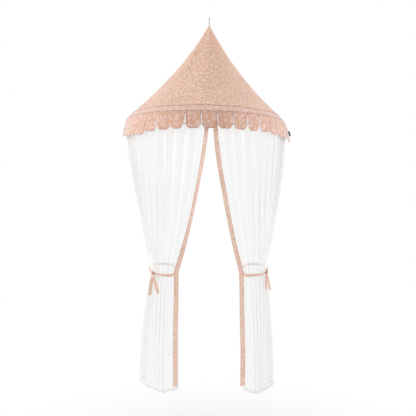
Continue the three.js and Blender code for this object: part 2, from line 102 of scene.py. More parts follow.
# camera and light
cameraPlan = {
    "place": (-0.008, -3.99, -1.272),  # level with the middle of the curtains
    "focalPixels": 596,
    "framePixels": 416,
    "sensor": 36.0,
}
lightPlan = {
    "surround": "ffffff",
    "surroundStrength": 0.62,
    "left": {"place": (-3.0, -0.8, 0.3), "size": 2.4, "power": 64},
    "right": {"place": (3.0, -0.7, 0.2), "size": 2.4, "power": 52},
    "front": {"place": (-0.3, -3.6, -0.5), "size": 2.6, "power": 10},
    "aim": (0, -0.25, -1.1),
}
# the floor is lit near the canopy, and fades to the white surround further out
floorPlan = {
    "height": -2.68,
    "width": 16.0,
    "colour": "f4f3f1",
    "roughness": 0.9,
    "patch": (0, -0.75),
    "reach": (0.35, 1.7),
}


def makeCamera():
    bpy.ops.object.camera_add(location=cameraPlan["place"], rotation=(math.pi / 2, 0, 0))
    camera = bpy.context.object
    camera.data.sensor_width = cameraPlan["sensor"]
    camera.data.lens = cameraPlan["focalPixels"] / cameraPlan["framePixels"] * cameraPlan["sensor"]
    bpy.context.scene.camera = camera


def makeLights():
    for name in ("left", "right", "front"):
        values = lightPlan[name]
        bpy.ops.object.light_add(type="AREA", location=values["place"])
        lamp = bpy.context.object
        lamp.name = name + "Softbox"
        lamp.data.size = values["size"]
        lamp.data.energy = values["power"]
        aim = Vector(lightPlan["aim"]) - Vector(values["place"])
        lamp.rotation_euler = aim.to_track_quat("-Z", "Y").to_euler()


# white behind the canopy for the camera and in reflections, softer for the light itself
def makeSurround():
    world = bpy.data.worlds.new("paleStudio")
    bpy.context.scene.world = world
    world.use_nodes = True
    tree = world.node_tree
    tree.nodes.clear()
    path = addNode(tree, "LightPath")
    seen = addNode(tree, "Math", {"operation": "MAXIMUM"}, {
        0: path.outputs["Is Camera Ray"], 1: path.outputs["Is Glossy Ray"]})
    seen = addNode(tree, "Math", {"operation": "MAXIMUM"}, {0: seen, 1: path.outputs["Is Transmission Ray"]})
    strength = addNode(tree, "MapRange", {"To Min": lightPlan["surroundStrength"], "To Max": 1.0}, {0: seen})
    back = addNode(tree, "Background", {"Color": linear(lightPlan["surround"])}, {"Strength": strength})
    addNode(tree, "OutputWorld", links={0: back})


def makeFloor():
    bpy.ops.mesh.primitive_plane_add(size=floorPlan["width"], location=(0, 0, floorPlan["height"]))
    floor = bpy.context.object
    floor.name = "studio_floor"
    bpy.ops.object.transform_apply(location=True)
    material, tree, shader = newMaterial("paleFloor")
    setNode(shader, {"Base Color": linear(floorPlan["colour"]), "Roughness": floorPlan["roughness"]})
    place = addNode(tree, "TexCoord").outputs["Object"]
    middle = (*floorPlan["patch"], floorPlan["height"])
    away = addNode(tree, "VectorMath", {"operation": "DISTANCE", 1: middle}, {0: place})
    near, far = floorPlan["reach"]
    fade = addNode(tree, "MapRange", {
        "interpolation_type": "SMOOTHSTEP", "From Min": near, "From Max": far}, {0: away.outputs["Value"]})
    seen = addNode(tree, "LightPath").outputs["Is Camera Ray"]
    share = addNode(tree, "Math", {"operation": "MULTIPLY"}, {0: fade, 1: seen})
    glow = addNode(tree, "Emission", {"Color": linear(lightPlan["surround"]), "Strength": 1.0})
    blend = addNode(tree, "MixShader", links={0: share, 1: shader, 2: glow})
    setNode(tree.nodes["Material Output"], links={0: blend})
    floor.data.materials.append(material)


# Printed cotton: fine plain weave, matt, with a small all-over print of pale five-petalled flowers,
# and buds between them in cream, sage and dusty rose.
cottonPrint = {
    # the flowers' and hearts' sizes are shares of the flowers' spacing, the buds' of their own
    "petals": 5,
    "petalDepth": 0.05,
    "flowerRadius": 0.33,
    "flowerEdge": 0.1,
    "flowerScatter": 0.8,
    "heartRadius": 0.1,
    "heartEdge": 0.04,
    "sparseSize": 0.05,
    "sparseRange": (0.38, 0.56),
    "sparseShare": 0.5,
    "budSpacing": 0.0088,
    "budRadius": 0.26,
    "budEdge": 0.08,
    "budScatter": 0.9,
    "budShare": 0.7,
    "cloudSize": 0.16,
    "cloudRange": (0.3, 0.7),
    "cloudTone": (0.955, 1.045),
    "wrongSideFade": 0.75,
    "threadSpacing": 0.0024,  # real threads are 0.3 mm; drawn coarse enough to show
    "threadWander": 0.6,
    "threadDepth": 0.0004,
    "bump": 0.25,
    "stitchLine": 0.006,
    "stitchLength": 0.004,
    "stitchWidth": 0.0009,
    "stitchShare": 0.68,
    "stitchShade": 0.3,
    "stitchDepth": 3.0,  # in threads
    "paintedShadeReach": 0.0055,  # painted shade along hems, seams and creases
    "paintedShadeFull": 0.25,
    "roughness": (0.81, 0.91),
    "sheenRoughness": 0.5,
    "specular": 0.25,
}
# in each set, edge is the strength of the painted shade along hems, seams and creases
hoodColours = {
    "ground": "d9aa90", "flower": "f2e0d6", "heart": "cfa8a0", "wrongSide": "ecd8cc",
    "buds": ["f6e6d4", "c2a98a", "b3806b", "efd8ce"],
    "strength": 0.84, "edge": 0.5, "sheen": 0.45, "spacing": 0.023,
}
# the band and scallops are the same cloth as the hood; this copy is drawn darker, and its deeper tone is
# painted shade on the valance
valanceShadedColours = {
    "ground": "d6a790", "flower": "f0dcda", "heart": "c08f8c", "wrongSide": "ead3c7",
    "buds": ["ebd0bd", "bfa084", "a46e5e", "e4c1b8"],
    "strength": 0.75, "edge": 0.5, "sheen": 0.95, "spacing": 0.028,
}
bindingColours = {
    "ground": "ebc4b0", "flower": "fbeee8", "heart": "cfa8a0", "wrongSide": "f5e8e0",
    "buds": ["f9ebe4", "cfb49f", "c48f79", "f3ded5"],
    "strength": 1.0, "edge": 0.25, "sheen": 0.4, "spacing": 0.017,
}
tieColours = {
    "ground": "e6bca8", "flower": "f7e6de", "heart": "cfa8a0", "wrongSide": "f0dfd6",
    "buds": ["f6e5dc", "cfb19d", "c48f79", "f0d9cf"],
    "strength": 0.9, "edge": 0.2, "sheen": 0.4, "spacing": 0.015,
}
# the knot is the tie's own cloth, drawn darker: painted shade among its wraps
knotShadeColours = dict(tieColours, ground="b9826c", flower="d3a595", strength=0.5)
wrongSideMark = 10.0  # metres added to the hem distance on a cloth's wrong side


def printedCotton(name, colours):
    values = cottonPrint
    material, tree, shader = newMaterial(name)
    cloth = addNode(tree, "UVMap", {"uv_map": "cloth"})
    hem = addNode(tree, "UVMap", {"uv_map": "hem"})

    # flowers: one to a cell, its edge waved into petals and turned at random
    cells = addNode(tree, "TexVoronoi", {
        "voronoi_dimensions": "2D", "Scale": 1 / colours["spacing"],
        "Randomness": values["flowerScatter"]}, {"Vector": cloth})
    offset = addNode(tree, "VectorMath", {"operation": "SUBTRACT"}, {0: cloth, 1: cells.outputs["Position"]})
    parts = addNode(tree, "SeparateXYZ", links={0: offset})
    angle = addNode(tree, "Math", {"operation": "ARCTAN2"}, {0: parts.outputs[1], 1: parts})
    tone = addNode(tree, "SeparateColor", links={0: cells.outputs["Color"]})
    turned = addNode(tree, "Math", {"operation": "MULTIPLY_ADD", 1: 2 * math.pi}, {0: tone, 2: angle})
    wave = addNode(tree, "Math", {"operation": "MULTIPLY", 1: float(values["petals"])}, {0: turned})
    wave = addNode(tree, "Math", {"operation": "COSINE"}, {0: wave})
    edge = addNode(tree, "Math", {
        "operation": "MULTIPLY_ADD", 1: values["petalDepth"], 2: values["flowerRadius"]}, {0: wave})
    inside = addNode(tree, "Math", {"operation": "SUBTRACT"}, {0: edge, 1: cells.outputs["Distance"]})
    # some parts of the print are sparser than others
    sparse = addNode(tree, "TexNoise", {
        "noise_dimensions": "2D", "Scale": 1 / values["sparseSize"], "Detail": 1.0}, {"Vector": cloth})
    low, high = values["sparseRange"]
    full = addNode(tree, "MapRange", {
        "From Min": low, "From Max": high,
        "To Min": values["sparseShare"] * colours["strength"], "To Max": colours["strength"]}, {0: sparse})
    flower = addNode(tree, "MapRange", {"From Max": values["flowerEdge"]}, {0: inside, 4: full})
    heart = addNode(tree, "MapRange", {
        "From Min": values["heartRadius"] + values["heartEdge"], "From Max": values["heartRadius"],
        "To Max": colours["strength"]}, {0: cells.outputs["Distance"]})

    # buds and leaves: smaller dots between the flowers, each of one of four colours
    buds = addNode(tree, "TexVoronoi", {
        "voronoi_dimensions": "2D", "Scale": 1 / values["budSpacing"],
        "Randomness": values["budScatter"]}, {"Vector": cloth})
    budShare = addNode(tree, "MapRange", {
        "From Min": values["budRadius"], "From Max": values["budRadius"] - values["budEdge"],
        "To Max": values["budShare"] * colours["strength"]}, {0: buds.outputs["Distance"]})
    budTone = addNode(tree, "SeparateColor", links={0: buds.outputs["Color"]})
    budColour = addNode(tree, "ValToRGB", links={0: budTone})
    ramp = budColour.color_ramp
    ramp.interpolation = "CONSTANT"
    ramp.elements.new(0.5)
    ramp.elements.new(0.75)
    for number, code in enumerate(colours["buds"]):
        ramp.elements[number].position = number / len(colours["buds"])
        ramp.elements[number].color = linear(code)

    colour = addNode(tree, "Mix", {"data_type": "RGBA", 6: linear(colours["ground"])}, {
        0: budShare, 7: budColour})
    for share, code in ((flower, colours["flower"]), (heart, colours["heart"])):
        colour = addNode(tree, "Mix", {"data_type": "RGBA", 7: linear(code)}, {
            0: share, 6: colour.outputs[2]})

    # uneven dye and wear, in large soft clouds
    cloud = addNode(tree, "TexNoise", {
        "noise_dimensions": "2D", "Scale": 1 / values["cloudSize"], "Detail": 3.0}, {"Vector": cloth})
    low, high = values["cloudRange"]
    dark, light = values["cloudTone"]
    cloud = addNode(tree, "MapRange", {
        "From Min": low, "From Max": high, "To Min": dark, "To Max": light}, {0: cloud})
    colour = addNode(tree, "VectorMath", {"operation": "SCALE"}, {0: colour.outputs[2], "Scale": cloud})

    # the print shows only faintly on the cloth's wrong side
    edgeParts = addNode(tree, "SeparateXYZ", links={0: hem})
    wrongSide = addNode(tree, "Math", {"operation": "GREATER_THAN", 1: wrongSideMark / 2}, {0: edgeParts})
    fromEdge = addNode(tree, "Math", {"operation": "MULTIPLY_ADD", 1: -wrongSideMark}, {
        0: wrongSide, 2: edgeParts})
    faded = addNode(tree, "Math", {"operation": "MULTIPLY", 1: values["wrongSideFade"]}, {0: wrongSide})
    colour = addNode(tree, "Mix", {"data_type": "RGBA", 7: linear(colours["wrongSide"])}, {
        0: faded, 6: colour})

    # hems, seams and creases: painted shade along the edge, and along a sunk line of stitches
    folded = addNode(tree, "MapRange", {
        "From Min": values["paintedShadeReach"], "From Max": values["paintedShadeReach"] * values["paintedShadeFull"],
        "To Max": colours["edge"]}, {0: fromEdge})
    fromLine = addNode(tree, "Math", {"operation": "SUBTRACT", 1: values["stitchLine"]}, {0: fromEdge})
    fromLine = addNode(tree, "Math", {"operation": "ABSOLUTE"}, {0: fromLine})
    onLine = addNode(tree, "MapRange", {
        "From Min": values["stitchWidth"] * 2, "From Max": values["stitchWidth"] / 2}, {0: fromLine})
    along = addNode(tree, "Math", {"operation": "MULTIPLY", 1: 1 / values["stitchLength"]}, {
        0: edgeParts.outputs[1]})
    along = addNode(tree, "Math", {"operation": "FRACT"}, {0: along})
    dash = addNode(tree, "Math", {"operation": "LESS_THAN", 1: values["stitchShare"]}, {0: along})
    thread = addNode(tree, "Math", {"operation": "MULTIPLY"}, {0: onLine, 1: dash})
    shade = addNode(tree, "Math", {
        "operation": "MULTIPLY_ADD", 1: values["stitchShade"]}, {0: thread, 2: folded})
    colour = addNode(tree, "Mix", {"data_type": "RGBA", 7: linear(colours["buds"][2])}, {
        0: shade, 6: colour.outputs[2]})

    # weave: two crossed sets of threads
    warp, weft = (addNode(tree, "TexWave", {
        "bands_direction": way, "Scale": bandScale(values["threadSpacing"]),
        "Distortion": values["threadWander"]}, {"Vector": cloth}) for way in ("X", "Y"))
    weave = addNode(tree, "Math", {"operation": "ADD"}, {0: warp.outputs[1], 1: weft.outputs[1]})
    height = addNode(tree, "Math", {
        "operation": "MULTIPLY_ADD", 1: -values["stitchDepth"]}, {0: onLine, 2: weave})
    bump = addNode(tree, "Bump", {
        "Strength": values["bump"], "Distance": values["threadDepth"]}, {"Height": height})
    smoothest, roughest = values["roughness"]
    rough = addNode(tree, "MapRange", {"To Min": smoothest, "To Max": roughest}, {0: warp.outputs[1]})
    setNode(shader, {
        "Sheen Weight": colours["sheen"],  # cotton nap pales the cloth where it turns away
        "Sheen Roughness": values["sheenRoughness"],
        "Specular IOR Level": values["specular"],
    }, {"Base Color": colour.outputs[2], "Normal": bump, "Roughness": rough})
    return material


# Polyester tulle: a sheer knitted net, white, that greys where its layers lie over each other.
tulleNet = {
    "colour": "eeeeee",
    "paleColour": "f7f7f7",
    "packedPaintedLight": "ffffff",
    "opacity": 0.26,
    "streakOpacity": 0.13,
    "threadOpacity": 0.05,
    "hemOpacity": 0.55,
    "hemWidth": 0.014,
    "meshSpacing": 0.0035,  # real holes are 1 mm; drawn coarse enough to show close by
    "meshScatter": 0.25,
    "threadReach": (0.05, 0.2),
    "threadDepth": 0.0003,
    "bump": 0.15,
    "streakWidth": 0.04,
    "streakFall": 0.7,
    "streakRange": (0.35, 0.7),
    "tieDown": 0.9,  # how far down the cloth the tie packs it together
    "packedReach": (0.085, 0.015),
    "packedOpacity": 0.2,
    "roughness": 0.6,
    "specular": 0.3,
    "sheen": 0.2,
}


def sheerTulle():
    values = tulleNet
    material, tree, shader = newMaterial("whitePolyesterTulle")
    cloth = addNode(tree, "UVMap", {"uv_map": "cloth"})
    hem = addNode(tree, "UVMap", {"uv_map": "hem"})
    stretched = addNode(tree, "VectorMath", {
        "operation": "MULTIPLY", 1: (1 / values["streakWidth"], values["streakFall"], 0)}, {0: cloth})
    streak = addNode(tree, "TexNoise", {
        "noise_dimensions": "2D", "Scale": 1.0, "Detail": 0.6}, {"Vector": stretched})
    low, high = values["streakRange"]
    streak = addNode(tree, "MapRange", {"From Min": low, "From Max": high}, {0: streak})
    net = addNode(tree, "TexVoronoi", {
        "voronoi_dimensions": "2D", "feature": "DISTANCE_TO_EDGE", "Scale": 1 / values["meshSpacing"],
        "Randomness": values["meshScatter"]}, {"Vector": cloth})
    near, far = values["threadReach"]
    threads = addNode(tree, "MapRange", {
        "From Min": near, "From Max": far, "To Min": 1.0, "To Max": 0.0}, {0: net.outputs["Distance"]})
    edge = addNode(tree, "SeparateXYZ", links={0: hem})
    folded = addNode(tree, "Math", {"operation": "LESS_THAN", 1: values["hemWidth"]}, {0: edge})
    # packed close in the tie, the layers hide the tape behind them
    fall = addNode(tree, "SeparateXYZ", links={0: cloth})
    fromTie = addNode(tree, "Math", {"operation": "ADD", 1: values["tieDown"]}, {0: fall.outputs[1]})
    fromTie = addNode(tree, "Math", {"operation": "ABSOLUTE"}, {0: fromTie})
    far, near = values["packedReach"]
    packed = addNode(tree, "MapRange", {"From Min": far, "From Max": near}, {0: fromTie})
    alpha = addNode(tree, "Math", {
        "operation": "MULTIPLY_ADD", 1: values["streakOpacity"], 2: values["opacity"]}, {0: streak})
    for share, key in ((threads, "threadOpacity"), (folded, "hemOpacity"), (packed, "packedOpacity")):
        alpha = addNode(tree, "Math", {"operation": "MULTIPLY_ADD", 1: values[key]}, {0: share, 2: alpha})
    tint = addNode(tree, "Mix", {
        "data_type": "RGBA", 6: linear(values["colour"]), 7: linear(values["paleColour"])}, {0: streak})
    # where packed, the net is painted whiter: painted light to cancel the shade its layers cast on each other
    tint = addNode(tree, "Mix", {"data_type": "RGBA", 7: linear(values["packedPaintedLight"])}, {
        0: packed, 6: tint.outputs[2]})
    bump = addNode(tree, "Bump", {
        "Strength": values["bump"], "Distance": values["threadDepth"]}, {"Height": threads})
    setNode(shader, {
        "Roughness": values["roughness"], "Specular IOR Level": values["specular"],
        "Sheen Weight": values["sheen"],
    }, {"Alpha": alpha, "Base Color": tint.outputs[2], "Normal": bump})
    return material


# Woven gathering tape: white, ribbed across, with the gathers pulled in.
tapeWeave = {
    "dark": "e6e4df", "light": "f4f2ee", "ribSpacing": 0.0016, "ribWander": 0.4, "cordSpacing": 0.0075,
    "depth": 0.0005, "bump": 0.4, "roughness": 0.8,
}


def gatheringTape():
    values = tapeWeave
    material, tree, shader = newMaterial("wovenGatheringTape")
    cloth = addNode(tree, "UVMap", {"uv_map": "cloth"})
    ribs = addNode(tree, "TexWave", {
        "bands_direction": "X", "Scale": bandScale(values["ribSpacing"]),
        "Distortion": values["ribWander"]}, {"Vector": cloth})
    cords = addNode(tree, "TexWave", {
        "bands_direction": "Y", "Scale": bandScale(values["cordSpacing"])}, {"Vector": cloth})
    height = addNode(tree, "Math", {"operation": "ADD"}, {0: ribs.outputs[1], 1: cords.outputs[1]})
    tint = addNode(tree, "Mix", {
        "data_type": "RGBA", 6: linear(values["dark"]), 7: linear(values["light"])}, {0: cords.outputs[1]})
    bump = addNode(tree, "Bump", {"Strength": values["bump"], "Distance": values["depth"]}, {
        "Height": height})
    setNode(shader, {"Roughness": values["roughness"]}, {
        "Base Color": tint.outputs[2], "Normal": bump})
    return material


# Twisted cotton cord: matt, with painted shade darkening the grooves between the plies.
cordFinish = {
    "dark": "7c4636", "light": "aa6d58", "fibreScale": 900.0, "depth": 0.0003, "bump": 0.4, "roughness": 0.85,
}


def twistedCord():
    values = cordFinish
    material, tree, shader = newMaterial("twistedCottonCord")
    ply = addNode(tree, "UVMap", {"uv_map": "cloth"})
    fibres = addNode(tree, "TexNoise", {"Scale": values["fibreScale"], "Detail": 3.0}, {"Vector": ply})
    paintedGrooveShade = addNode(tree, "SeparateXYZ", links={0: ply})
    # painted shade: the colour darkens from the crest of each ply into the groove
    tint = addNode(tree, "Mix", {
        "data_type": "RGBA", 6: linear(values["dark"]), 7: linear(values["light"])}, {0: paintedGrooveShade})
    bump = addNode(tree, "Bump", {"Strength": values["bump"], "Distance": values["depth"]}, {
        "Height": fibres})
    setNode(shader, {"Roughness": values["roughness"]}, {
        "Base Color": tint.outputs[2], "Normal": bump})
    return material


# Powder-coated steel: white, satin, with the fine orange peel that the melted powder leaves.
# Moulded polypropylene: white, slightly waxy, with a fine spark-eroded texture.
hoopFinishes = {
    "steel": {
        "name": "whitePowderCoatedSteel", "dark": "ebeae7", "light": "f6f5f3", "ior": 1.5,
        "grain": 700.0, "mottle": (40.0, 5.0), "bump": 0.12, "depth": 0.0001,
        "roughness": (0.34, 0.5), "roughFrom": "mottle",
    },
    "plastic": {
        "name": "mouldedPolypropylene", "dark": "e5e3de", "light": "f1f0ec", "ior": 1.49,
        "grain": 1500.0, "mottle": (60.0, 2.0), "bump": 0.15, "depth": 0.0001,
        "roughness": (0.42, 0.56), "roughFrom": "grain",
    },
}


def hoopFinish(values):
    material, tree, shader = newMaterial(values["name"])
    place = addNode(tree, "TexCoord").outputs["Object"]
    scale, detail = values["mottle"]
    spread = {
        "grain": addNode(tree, "TexNoise", {"Scale": values["grain"], "Detail": 2.0}, {"Vector": place}),
        "mottle": addNode(tree, "TexNoise", {"Scale": scale, "Detail": detail}, {"Vector": place}),
    }
    tint = addNode(tree, "Mix", {
        "data_type": "RGBA", 6: linear(values["dark"]), 7: linear(values["light"])}, {0: spread["mottle"]})
    smoothest, roughest = values["roughness"]
    rough = addNode(tree, "MapRange", {"To Min": smoothest, "To Max": roughest}, {
        0: spread[values["roughFrom"]]})
    bump = addNode(tree, "Bump", {"Strength": values["bump"], "Distance": values["depth"]}, {
        "Height": spread["grain"]})
    setNode(shader, {"IOR": values["ior"]}, {
        "Base Color": tint.outputs[2], "Normal": bump, "Roughness": rough})
    return material


# Bare woven label: navy satin ribbon with a lighter selvedge.
ribbonFinish = {
    "dark": "262c45", "light": "31395a", "selvedge": "4a5270", "selvedgeWidth": 0.0012, "ribSpacing": 0.0012,
    "depth": 0.0002, "bump": 0.3, "roughness": 0.5, "sheen": 0.2,
}


def wovenLabel():
    values = ribbonFinish
    material, tree, shader = newMaterial("navySatinRibbon")
    cloth = addNode(tree, "UVMap", {"uv_map": "cloth"})
    hem = addNode(tree, "UVMap", {"uv_map": "hem"})
    edge = addNode(tree, "SeparateXYZ", links={0: hem})
    ribs = addNode(tree, "TexWave", {
        "bands_direction": "Y", "Scale": bandScale(values["ribSpacing"])}, {"Vector": cloth})
    selvedge = addNode(tree, "Math", {"operation": "LESS_THAN", 1: values["selvedgeWidth"]}, {0: edge})
    tint = addNode(tree, "Mix", {
        "data_type": "RGBA", 6: linear(values["dark"]), 7: linear(values["light"])}, {0: ribs.outputs[1]})
    tint = addNode(tree, "Mix", {"data_type": "RGBA", 7: linear(values["selvedge"])}, {
        0: selvedge, 6: tint.outputs[2]})
    bump = addNode(tree, "Bump", {"Strength": values["bump"], "Distance": values["depth"]}, {
        "Height": ribs.outputs[1]})
    setNode(shader, {"Roughness": values["roughness"], "Sheen Weight": values["sheen"]}, {
        "Base Color": tint.outputs[2], "Normal": bump})
    return material


clothAngle = math.radians(50)  # faces that meet at less are shaded as one


# cloth as a grid of points, rows down and columns left to right, seen from outside
def clothSheet(name, points, cloth, hem, material, thickness=0.0):
    rows, columns = points.shape[:2]
    at = np.arange(rows * columns).reshape(rows, columns)
    quads = np.stack([at[:-1, :-1], at[1:, :-1], at[1:, 1:], at[:-1, 1:]], axis=-1).reshape(-1, 4)
    mesh = bpy.data.meshes.new(name)
    mesh.from_pydata(points.reshape(-1, 3).tolist(), [], quads.tolist())
    corners = quads.ravel()
    for layerName, values in (("cloth", cloth), ("hem", hem)):
        layer = mesh.uv_layers.new(name=layerName)
        layer.data.foreach_set("uv", values.reshape(-1, 2)[corners].astype(np.float32).ravel())
    mesh.materials.append(material)
    sheet = bpy.data.objects.new(name, mesh)
    bpy.context.collection.objects.link(sheet)
    choose(sheet)
    if thickness:
        reshape(sheet, "SOLIDIFY", thickness=thickness, offset=0)
        markWrongSide(sheet.data, len(quads))
    bpy.ops.object.shade_smooth_by_angle(angle=clothAngle)
    return sheet


# the second face of a thick sheet is the cloth's wrong side
def markWrongSide(mesh, count):
    layer = mesh.uv_layers["hem"].data
    for face in mesh.polygons[count:2 * count]:
        for loop in face.loop_indices:
            layer[loop].uv.x += wrongSideMark


def choose(*objects):
    bpy.ops.object.select_all(action="DESELECT")
    for item in objects:
        item.select_set(True)
    bpy.context.view_layer.objects.active = objects[0]


def stack(*parts):
    return np.stack(np.broadcast_arrays(*parts), axis=-1)


def lengthAlong(points):
    return np.concatenate([[0], np.cumsum(np.linalg.norm(np.diff(points, axis=0), axis=1))])


# goes from 0 to 1 over a zone, given as its start and its length
def rise(value, zone):
    start, length = zone
    return smooth((value - start) / length)


def faceOutwards(piece):
    choose(piece)
    bpy.ops.object.mode_set(mode="EDIT")
    bpy.ops.mesh.select_all(action="SELECT")
    bpy.ops.mesh.normals_make_consistent(inside=False)
    bpy.ops.object.mode_set(mode="OBJECT")


# adds a modifier with its settings to the active piece and applies it
def reshape(piece, kind, **values):
    bpy.ops.object.modifier_add(type=kind)
    modifier = piece.modifiers[-1]
    for key, value in values.items():
        setattr(modifier, key, value)
    bpy.ops.object.modifier_apply(modifier=modifier.name)


# smooth curve through points, with the same spacing rule as the construction's curves
def curveThrough(points, share):
    points = np.array(points, dtype=float)
    padded = np.vstack([2 * points[0] - points[1], points, 2 * points[-1] - points[-2]])
    share = np.clip(np.atleast_1d(share), 0, 1) * (len(points) - 1)
    first = np.minimum(share.astype(int), len(points) - 2)
    t = (share - first)[:, None]
    p0, p1, p2, p3 = (padded[first + k] for k in range(4))
    d0, d1, d2 = (np.maximum(np.linalg.norm(b - a, axis=1) ** 0.5, 1e-9)[:, None]
                  for a, b in ((p0, p1), (p1, p2), (p2, p3)))
    m1 = ((p1 - p0) / d0 - (p2 - p0) / (d0 + d1) + (p2 - p1) / d1) * d1
    m2 = ((p2 - p1) / d1 - (p3 - p1) / (d1 + d2) + (p3 - p2) / d2) * d1
    return (p1 + m1 * t + (3 * (p2 - p1) - 2 * m1 - m2) * t ** 2 + (2 * (p1 - p2) + m1 + m2) * t ** 3)


# the crown: hood, band, scallops and hoop share one frame at the hood's tip
crownPlan = {
    "loopLength": 0.060, "tipLean": 0.013, "hangRoll": math.radians(1),
    "hoodHeight": 0.610, "seamRadius": 0.495, "tipRadius": 0.0075, "straightShare": 0.67,
    "tipOpen": math.radians(4), "tipWrapShare": 0.085,
    "bandHeight": 0.046, "hoopRadius": 0.520, "tubeRadius": 0.004, "casingRadius": 0.008,
    "casingHem": 0.014, "cloth": 0.0012, "clothRoom": 0.001, "gatherInset": 0.0028,
    "puckers": 74, "puckerDrift": (0.6, 9),  # small gathers along the hoop seam
}
hoopLine = -(crownPlan["hoodHeight"] + crownPlan["bandHeight"])
hoopHeight = hoopLine + crownPlan["casingRadius"] + crownPlan["clothRoom"]
gatherRadius = crownPlan["hoopRadius"] - crownPlan["casingRadius"] - crownPlan["gatherInset"]


def crownToWorld(points):
    roll, lean = crownPlan["hangRoll"], crownPlan["tipLean"]
    x, y, z = points[..., 0], points[..., 1], points[..., 2]
    return stack(x * math.cos(roll) + z * math.sin(roll) - lean, y,
                 z * math.cos(roll) - x * math.sin(roll) - crownPlan["loopLength"])


def roundHoop(angle, radius, height):
    return stack(radius * np.sin(angle), -radius * np.cos(angle), height)


def puckered(angle, depth):
    drift, bends = crownPlan["puckerDrift"]
    return depth * np.sin(crownPlan["puckers"] * angle + drift * np.sin(bends * angle))


# heights are shares of the hood's own, from the tip down
hoodFolds = {
    "columns": 180, "rows": 70, "seamRows": 21, "seamZone": 0.95, "rowPower": 1.2,
    "waves": [(7, 0.0032, 0.4), (11, 0.0022, 1.9), (17, 0.0012, 0.7)],  # count, depth, phase
    "waveTurn": 1.3, "bellyPower": 0.8, "bellyFall": 0.35,
    "straightEdge": 0.05,  # the back edges stay straight
    "tipWaves": (13, 0.0007), "tipReach": (0.04, 0.2),
    "puckerDepth": 0.0012, "puckerStart": 0.93, "puckerReach": 0.06,
    "seamDip": 0.006, "seamShare": 0.009,
    "ridge": (0.0035, 0.98, 0.011),  # the seam's turned-in edge lifts the cloth: height, middle, half width
    "backHem": 0.97,
}


def makeHood(cotton):
    plan, folds = crownPlan, hoodFolds
    zone, power = folds["seamZone"], folds["rowPower"]
    upper = np.linspace(0, zone, folds["rows"]) ** power / zone ** (power - 1)
    t = np.concatenate([upper, np.linspace(zone, 1, folds["seamRows"] + 1)[1:]])[:, None]
    s = np.linspace(0, 1, folds["columns"] + 1)[None, :]
    flare = plan["straightShare"] * t + (1 - plan["straightShare"]) * t * t
    radius = plan["tipRadius"] + (plan["seamRadius"] - plan["tipRadius"]) * flare
    half = mix(math.pi - plan["tipOpen"], math.pi / 2, smooth(t / plan["tipWrapShare"]))
    angle = (2 * s - 1) * half
    turned = folds["waveTurn"] * t
    wave = sum(depth * np.sin(count * angle + phase + turned) for count, depth, phase in folds["waves"])
    belly = np.sin(math.pi * t) ** folds["bellyPower"] * (1 - folds["bellyFall"] * t)
    out = wave * belly * smooth((1 - np.abs(2 * s - 1)) / folds["straightEdge"])
    count, depth = folds["tipWaves"]
    near, far = folds["tipReach"]
    out = out + depth * np.sin(count * angle) * smooth(t / near) * (1 - smooth(t / far))
    puckers = puckered(angle, folds["puckerDepth"])
    out = out + puckers * smooth((t - folds["puckerStart"]) / folds["puckerReach"])
    height, middle, reach = folds["ridge"]
    out = out + height * np.exp(-((t - middle) / reach) ** 2)
    out = out - folds["seamDip"] * smooth((t - 1 + folds["seamShare"]) / folds["seamShare"])
    points = roundHoop(angle, radius + out, -plan["hoodHeight"] * t)
    points[..., 0] += plan["tipLean"] * (1 - t)
    # the print lies on the flat fan that the hood is cut from
    steps = np.diff(radius, axis=0, prepend=0), plan["hoodHeight"] * np.diff(t, axis=0, prepend=0)
    slant = np.cumsum(np.hypot(*steps), axis=0)
    length = slant[-1, 0]
    fan = math.pi * plan["seamRadius"] / length
    spread = (s - 0.5) * fan
    cloth = stack(slant * np.sin(spread), slant * np.cos(spread))
    side = np.abs(2 * s - 1)
    # the distance from the seam and the back edges places the painted shade along them
    hem = stack(np.minimum(length - slant, (1 - side) * radius * math.pi / 2),
                spread * length + slant * (side > folds["backHem"]))
    hood = clothSheet("hood_cloth", crownToWorld(points), cloth, hem, cotton, plan["cloth"])
    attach(hood, "crown")
    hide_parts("hood")


bandFolds = {
    "columns": 260, "turnRows": 16, "faceRows": 12,
    "puckerDepth": 0.0011, "puckerReach": 1.2,  # reach in shares of the band's height
    "wave": (9, 0.0012, 0.8), "waveReach": 0.055, "seamReach": 0.006,
    # the cloth spans the hoop tube and its joining sleeve, and turns under more sharply
    "square": 0.16, "squareSpread": 4,
    # crease and seamEdge place the painted shade along the band's lower crease and its seam
    "turnUnder": (0.35, 0.7, 1), "crease": 0.047, "seamEdge": 0.001, "printShift": 0.4,
}


def bandSection():
    plan = crownPlan
    centre = np.array([plan["hoopRadius"], hoopHeight])
    seam = np.array([plan["seamRadius"], -plan["hoodHeight"]]) - centre
    touch = math.atan2(seam[1], seam[0]) - math.acos(plan["casingRadius"] / np.linalg.norm(seam))
    turn = np.linspace(touch, -math.pi, bandFolds["turnRows"] + 1)
    rounded = np.stack([np.cos(turn), np.sin(turn)], axis=1)
    squareness = bandFolds["square"] * smooth(-np.sin(turn) * bandFolds["squareSpread"])[:, None]
    rounded *= plan["casingRadius"] * (1 + squareness * np.sin(2 * turn)[:, None] ** 2)
    face = mix(seam, rounded[0], np.linspace(0, 1, bandFolds["faceRows"], endpoint=False)[:, None])
    inner = np.array([[-plan["casingRadius"], plan["casingHem"] * share] for share in bandFolds["turnUnder"]])
    return np.vstack([face, rounded, inner]) + centre


